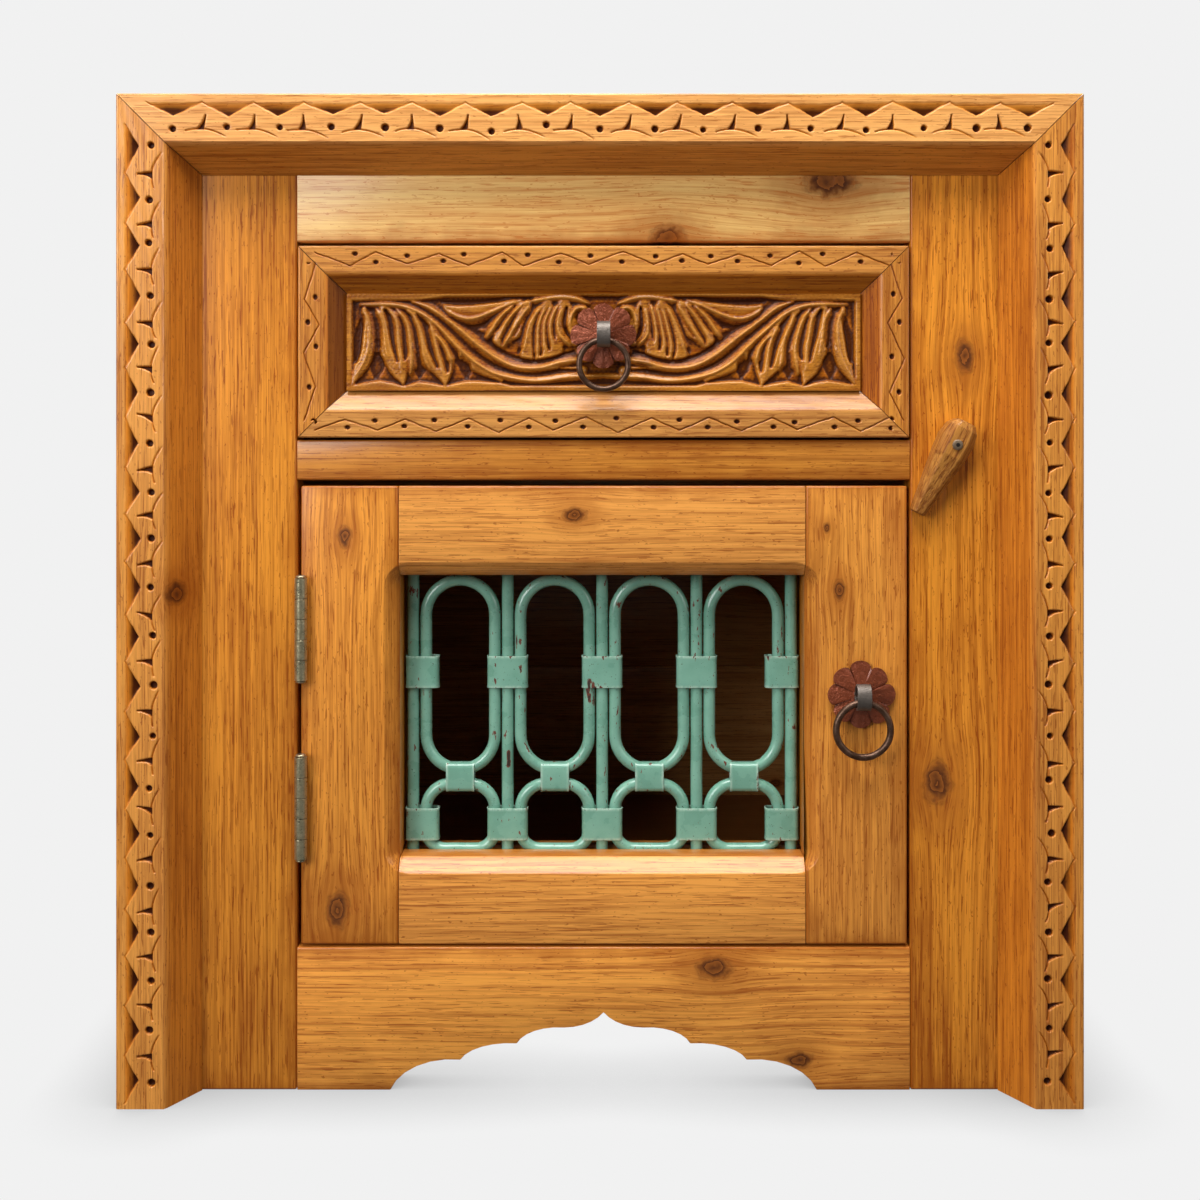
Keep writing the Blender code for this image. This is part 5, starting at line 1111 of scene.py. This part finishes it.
def rodLoop(bm, x, y, half, bottom, top, bottomRadius, topRadius, radius):
    # up the right leg, over the top, down the left one and back along the bottom
    ring = rodRing(bm, (x + half, y, bottom + bottomRadius), radius)
    ring = runRod(bm, ring, (0, 0, top - topRadius - bottom - bottomRadius), 8)
    ring = turnRod(bm, ring, (x + half - topRadius, y, top - topRadius), -math.pi / 2, 9)
    if half - topRadius > 0.1 * mm:
        ring = runRod(bm, ring, (-2 * (half - topRadius), 0, 0), 3)
    ring = turnRod(bm, ring, (x - half + topRadius, y, top - topRadius), -math.pi / 2, 9)
    ring = runRod(bm, ring, (0, 0, -(top - topRadius - bottom - bottomRadius)), 8)
    ring = turnRod(bm, ring, (x - half + bottomRadius, y, bottom + bottomRadius), -math.pi / 2, 9)
    if half - bottomRadius > 0.1 * mm:
        ring = runRod(bm, ring, (2 * (half - bottomRadius), 0, 0), 4)
    turnRod(bm, ring, (x + half - bottomRadius, y, bottom + bottomRadius), -math.pi / 2, 9)


def strapBand(bm, low, high, axis):
    # a strap wound round the rods: rounded, open at both ends, its rims standing a little proud
    part = bmesh.new()
    size = Vector(high) - Vector(low)
    bmesh.ops.create_cube(part, size=1.0, matrix=Matrix.Translation((Vector(low) + Vector(high)) / 2)
                          @ Matrix.Diagonal((*size, 1.0)))
    index = "XYZ".index(axis)
    ends = [face for face in part.faces if abs(face.normal[index]) > 0.9]
    bmesh.ops.delete(part, geom=ends, context="FACES_ONLY")

    def runs():
        ways = [(edge, (edge.verts[0].co - edge.verts[1].co).normalized()) for edge in part.edges]
        return [edge for edge, way in ways if abs(way[index]) > 0.9]

    roundEdges(part, runs(), grille["corner"], 5)
    bmesh.ops.subdivide_edges(part, edges=runs(), cuts=9, use_grid_fill=True)
    middle = (low[index] + high[index]) / 2
    centre = (Vector(low) + Vector(high)) / 2
    for vert in part.verts:
        share = abs(vert.co[index] - middle) / (size[index] / 2)
        outward = vert.co - centre
        outward[index] = 0
        vert.co += outward.normalized() * 0.30 * mm * max(0.0, share - 0.8) / 0.2
    faceOut(part)
    bmesh.ops.solidify(part, geom=part.faces[:], thickness=grille["strap"])
    faceOut(part)
    roundEdges(part, arrises(part, 60), 0.25 * mm, 2)
    spare = bpy.data.meshes.new("strap")
    part.to_mesh(spare)
    part.free()
    bm.from_mesh(spare)
    bpy.data.meshes.remove(spare)


def dentMetal(bm, size, scale):
    # old smith's work: not quite straight or round
    for vert in bm.verts:
        vert.co += noise.noise_vector(vert.co * scale) * size


def markRims(mesh, bands):
    # the straps' lips, painted paler and more chipped: axis, middle, half length, clear of the rod
    spots = placesOf(mesh)
    rim = np.zeros(len(spots))
    for axis, middle, half, centre, clear in bands:
        run = np.abs(spots[:, axis] - middle)
        aside = np.abs(spots[:, [1, 2 - axis]] - centre).max(1)
        rim = np.maximum(rim, (run > half - 0.75 * mm) * (run < half + 0.1 * mm) * (aside > clear))
    markPoints(mesh, "rim", rim)


def makeGrille():
    uprights = [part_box(f"upright_{n}") for n in range(1, 6)]
    pairs = [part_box(f"loop_pair_{n}") for n in range(1, 5)]
    y = (uprights[0][0][1] + uprights[0][1][1]) / 2
    reach = (uprights[0][1][1] - uprights[0][0][1]) / 2
    radius = reach - 1.2 * mm
    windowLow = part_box("door_rail_bottom")[1][2]
    middles = [(box[0][0] + box[1][0]) / 2 for box in uprights]
    pitch = (middles[3] - middles[1]) / 2
    middles[0], middles[4] = middles[1] - pitch, middles[3] + pitch
    for number, (box, x) in enumerate(zip(uprights, middles), start=1):
        bm = bmesh.new()
        ring = rodRing(bm, (x, y, box[0][2]), radius)
        runRod(bm, ring, (0, 0, box[1][2] - box[0][2]), 40)
        closeEnds(bm)
        dentMetal(bm, grille["dent"], 55)
        for rise in (grille["middleRise"], grille["bottomRise"]):
            z = windowLow + rise
            strapBand(bm, (box[0][0] + 0.3 * mm, y - reach + 0.3 * mm, z - grille["collarTall"] / 2),
                      (box[1][0] - 0.3 * mm, y + reach - 0.3 * mm, z + grille["collarTall"] / 2), "Z")
        bmesh.ops.remove_doubles(bm, verts=bm.verts[:], dist=0.005 * mm)
        faceOut(bm)
        mesh = finishMesh(bm, f"upright_{number}", 40)
        markRims(mesh, [(2, windowLow + rise, grille["collarTall"] / 2, (y, x), radius + 0.25 * mm)
                        for rise in (grille["middleRise"], grille["bottomRise"])])
        standFor(f"upright_{number}", mesh, greenPaint)
    for number, box in enumerate(pairs, start=1):
        x = (box[0][0] + box[1][0]) / 2
        half = (box[1][0] - box[0][0]) / 2 - radius
        bottom, top = box[0][2] + radius, box[1][2] - radius
        shortTop = bottom + grille["shortLoop"]
        tallBottom = shortTop + grille["loopApart"]
        bm = bmesh.new()
        rodLoop(bm, x, y, half, tallBottom, top, half, half, radius)
        rodLoop(bm, x, y, half, bottom, shortTop, grille["bottomRadius"], grille["topRadius"], radius)
        bmesh.ops.remove_doubles(bm, verts=bm.verts[:], dist=0.02 * mm)
        dentMetal(bm, grille["dent"], 55)
        strapBand(bm, (x - grille["jointWide"] / 2, y - reach + 0.3 * mm, shortTop - reach + 0.3 * mm),
                  (x + grille["jointWide"] / 2, y + reach - 0.3 * mm, tallBottom + reach - 0.3 * mm), "X")
        faceOut(bm)
        mesh = finishMesh(bm, f"loop_pair_{number}", 40)
        markRims(mesh, [(0, x, grille["jointWide"] / 2, (y, (shortTop + tallBottom) / 2), radius + 0.25 * mm)])
        standFor(f"loop_pair_{number}", mesh, greenPaint)


makeGrille()
print("grille bent")


# hinges, pins, staples and the screw keep the frame's forms, with worn edges
for node in ("hinge_leaf_fixed_upper", "hinge_leaf_fixed_lower", "hinge_leaf_moving_upper",
             "hinge_leaf_moving_lower", "hinge_pin_upper", "hinge_pin_lower", "door_staple", "drawer_staple"):
    standFor(node, softBoard(node, 0.2 * mm), stapleSteel if node.endswith("staple") else wornSteel)


def makeScrewSteel():
    # a dulled head, darker in its middle
    material = makeMetal("screwSteel")
    tree = material.node_tree
    plus, minus, times = mathsOf(tree)
    middle = middleOf("latch_screw")
    spot = wire(tree, "SeparateXYZ", {"Vector": wire(tree, "TexCoord").outputs["Object"]}).outputs
    aside = minus(spot["X"], middle.x)
    up = minus(spot["Z"], middle.z)
    reach = calc(tree, "SQRT", plus(times(aside, aside), times(up, up)))
    layOver(material, remap(tree, reach, 1.5 * mm, 1.0 * mm), ironWear["headMiddleDark"])
    return material


standFor("latch_screw", softBoard("latch_screw", 0.15 * mm), makeScrewSteel())


# ring pulls
rosettes = {"petals": 8, "rings": 26, "spokes": 176, "notch": 0.20, "edge": 0.8 * mm, "dome": 1.9 * mm,
            "overlap": 0.9 * mm, "nails": ((0.62, 1.9), (0.66, 4.0), (0.6, 5.9)), "nail": 0.055}


def makeRosette(node, seed):
    dice = random.Random(seed)
    low, high = (Vector(corner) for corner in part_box(node))
    centre = (low + high) / 2
    radius = (high.x - low.x) / 2
    tall = high.y - low.y
    bm = bmesh.new()
    bmesh.ops.create_circle(bm, cap_ends=True, segments=rosettes["spokes"], radius=1.0)
    face = bm.faces[:]
    for _ in range(rosettes["rings"] - 1):
        bmesh.ops.inset_region(bm, faces=face, thickness=1.0 / rosettes["rings"], use_even_offset=False)
    bmesh.ops.poke(bm, faces=[f for f in bm.faces if len(f.verts) > 4])
    petals = rosettes["petals"]
    lean = [dice.uniform(-0.12, 0.12) for _ in range(petals)]
    reach = [dice.uniform(0.92, 1.0) for _ in range(petals)]
    mark = bm.verts.layers.float.new("cut")
    nails = [(share * math.cos(turn + seed), share * math.sin(turn + seed)) for share, turn in rosettes["nails"]]
    for vert in bm.verts:
        x, y = vert.co.x, vert.co.y
        share = min(math.hypot(x, y), 1.0)
        angle = math.atan2(y, x)
        turn = angle * petals / math.tau + 0.5
        petal = int(math.floor(turn)) % petals
        across = turn - math.floor(turn) - 0.5
        across += lean[petal] * 0.4 * (1 - abs(2 * across))
        lobe = math.sqrt(max(math.cos(math.pi * across), 0.0))
        outline = reach[petal] * (1 - rosettes["notch"] * share ** 2 * (1 - lobe))
        outer = max(0.0, min((share - 0.42) / 0.45, 1.0))
        rimward = max(0.0, min((share - 0.62) / 0.3, 1.0))
        lift = (1 - share ** 1.8) * (tall - 2.6 * mm)
        lift += rosettes["dome"] * lobe * outer * (1 - 0.75 * share ** 6) + rosettes["overlap"] * across * rimward
        lift += noise.noise(Vector((x * 6, y * 6, seed))) * 0.4 * mm
        pit = min(math.hypot(x - nx, y - ny) for nx, ny in nails) / rosettes["nail"]
        lift -= 0.7 * mm * max(0.0, min(1.6 - pit, 1.0))
        # painted shade marked in the nail pits and in the creases between petals
        vert[mark] = max(max(0.0, min(1.5 - pit, 0.9)), rimward * max(0.0, abs(across) - 0.43) / 0.07 * 0.4)
        out = share * radius * outline
        vert.co = Vector((math.cos(angle) * out, math.sin(angle) * out, lift))
    faceOut(bm)
    if sum(f.normal.z for f in bm.faces) < 0:
        bmesh.ops.reverse_faces(bm, faces=bm.faces[:])
    bmesh.ops.solidify(bm, geom=bm.faces[:], thickness=rosettes["edge"])
    faceOut(bm)
    bmesh.ops.rotate(bm, cent=(0, 0, 0), matrix=Matrix.Rotation(math.pi / 2, 3, "X"), verts=bm.verts[:])
    back = max(vert.co.y for vert in bm.verts)
    bmesh.ops.translate(bm, vec=(centre.x, high.y - back, centre.z), verts=bm.verts[:])
    standFor(node, finishMesh(bm, node, 50), oxideIron)


def makeRing(node):
    low, high = (Vector(corner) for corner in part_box(node))
    centre = (low + high) / 2
    bar = (high.y - low.y) / 2
    radius = (high.x - low.x) / 2 - bar
    bm = bmesh.new()
    made = bmesh.ops.create_circle(bm, cap_ends=False, segments=20, radius=bar,
                                   matrix=Matrix.Translation(centre + Vector((radius, 0, 0))))
    geom = made["verts"] + bm.edges[:]
    bmesh.ops.spin(bm, geom=geom, cent=centre, axis=(0, 1, 0), dvec=(0, 0, 0), angle=math.tau, steps=80,
                   use_merge=True)
    bmesh.ops.remove_doubles(bm, verts=bm.verts[:], dist=0.01 * mm)
    dentMetal(bm, 0.09 * mm, 90)
    faceOut(bm)
    standFor(node, finishMesh(bm, node), ringIron)


for node, seed in (("door_rosette", 4), ("drawer_rosette", 9)):
    makeRosette(node, seed)
for node in ("door_ring", "drawer_ring"):
    makeRing(node)
print("pulls hung")


# turn button, whittled
turnButton = {"lean": 62.6, "facet": 1.9 * mm}
standFor("latch", softBoard("latch", turnButton["facet"], 1, 7),
         makeWood("latch_pine", turnButton["lean"], middleOf("latch"), 0.56, ringContrast=0.55, rings=360,
                  streak=0.9, pale=0.25, bump=0.5, coat=0.2))
print("latch whittled")
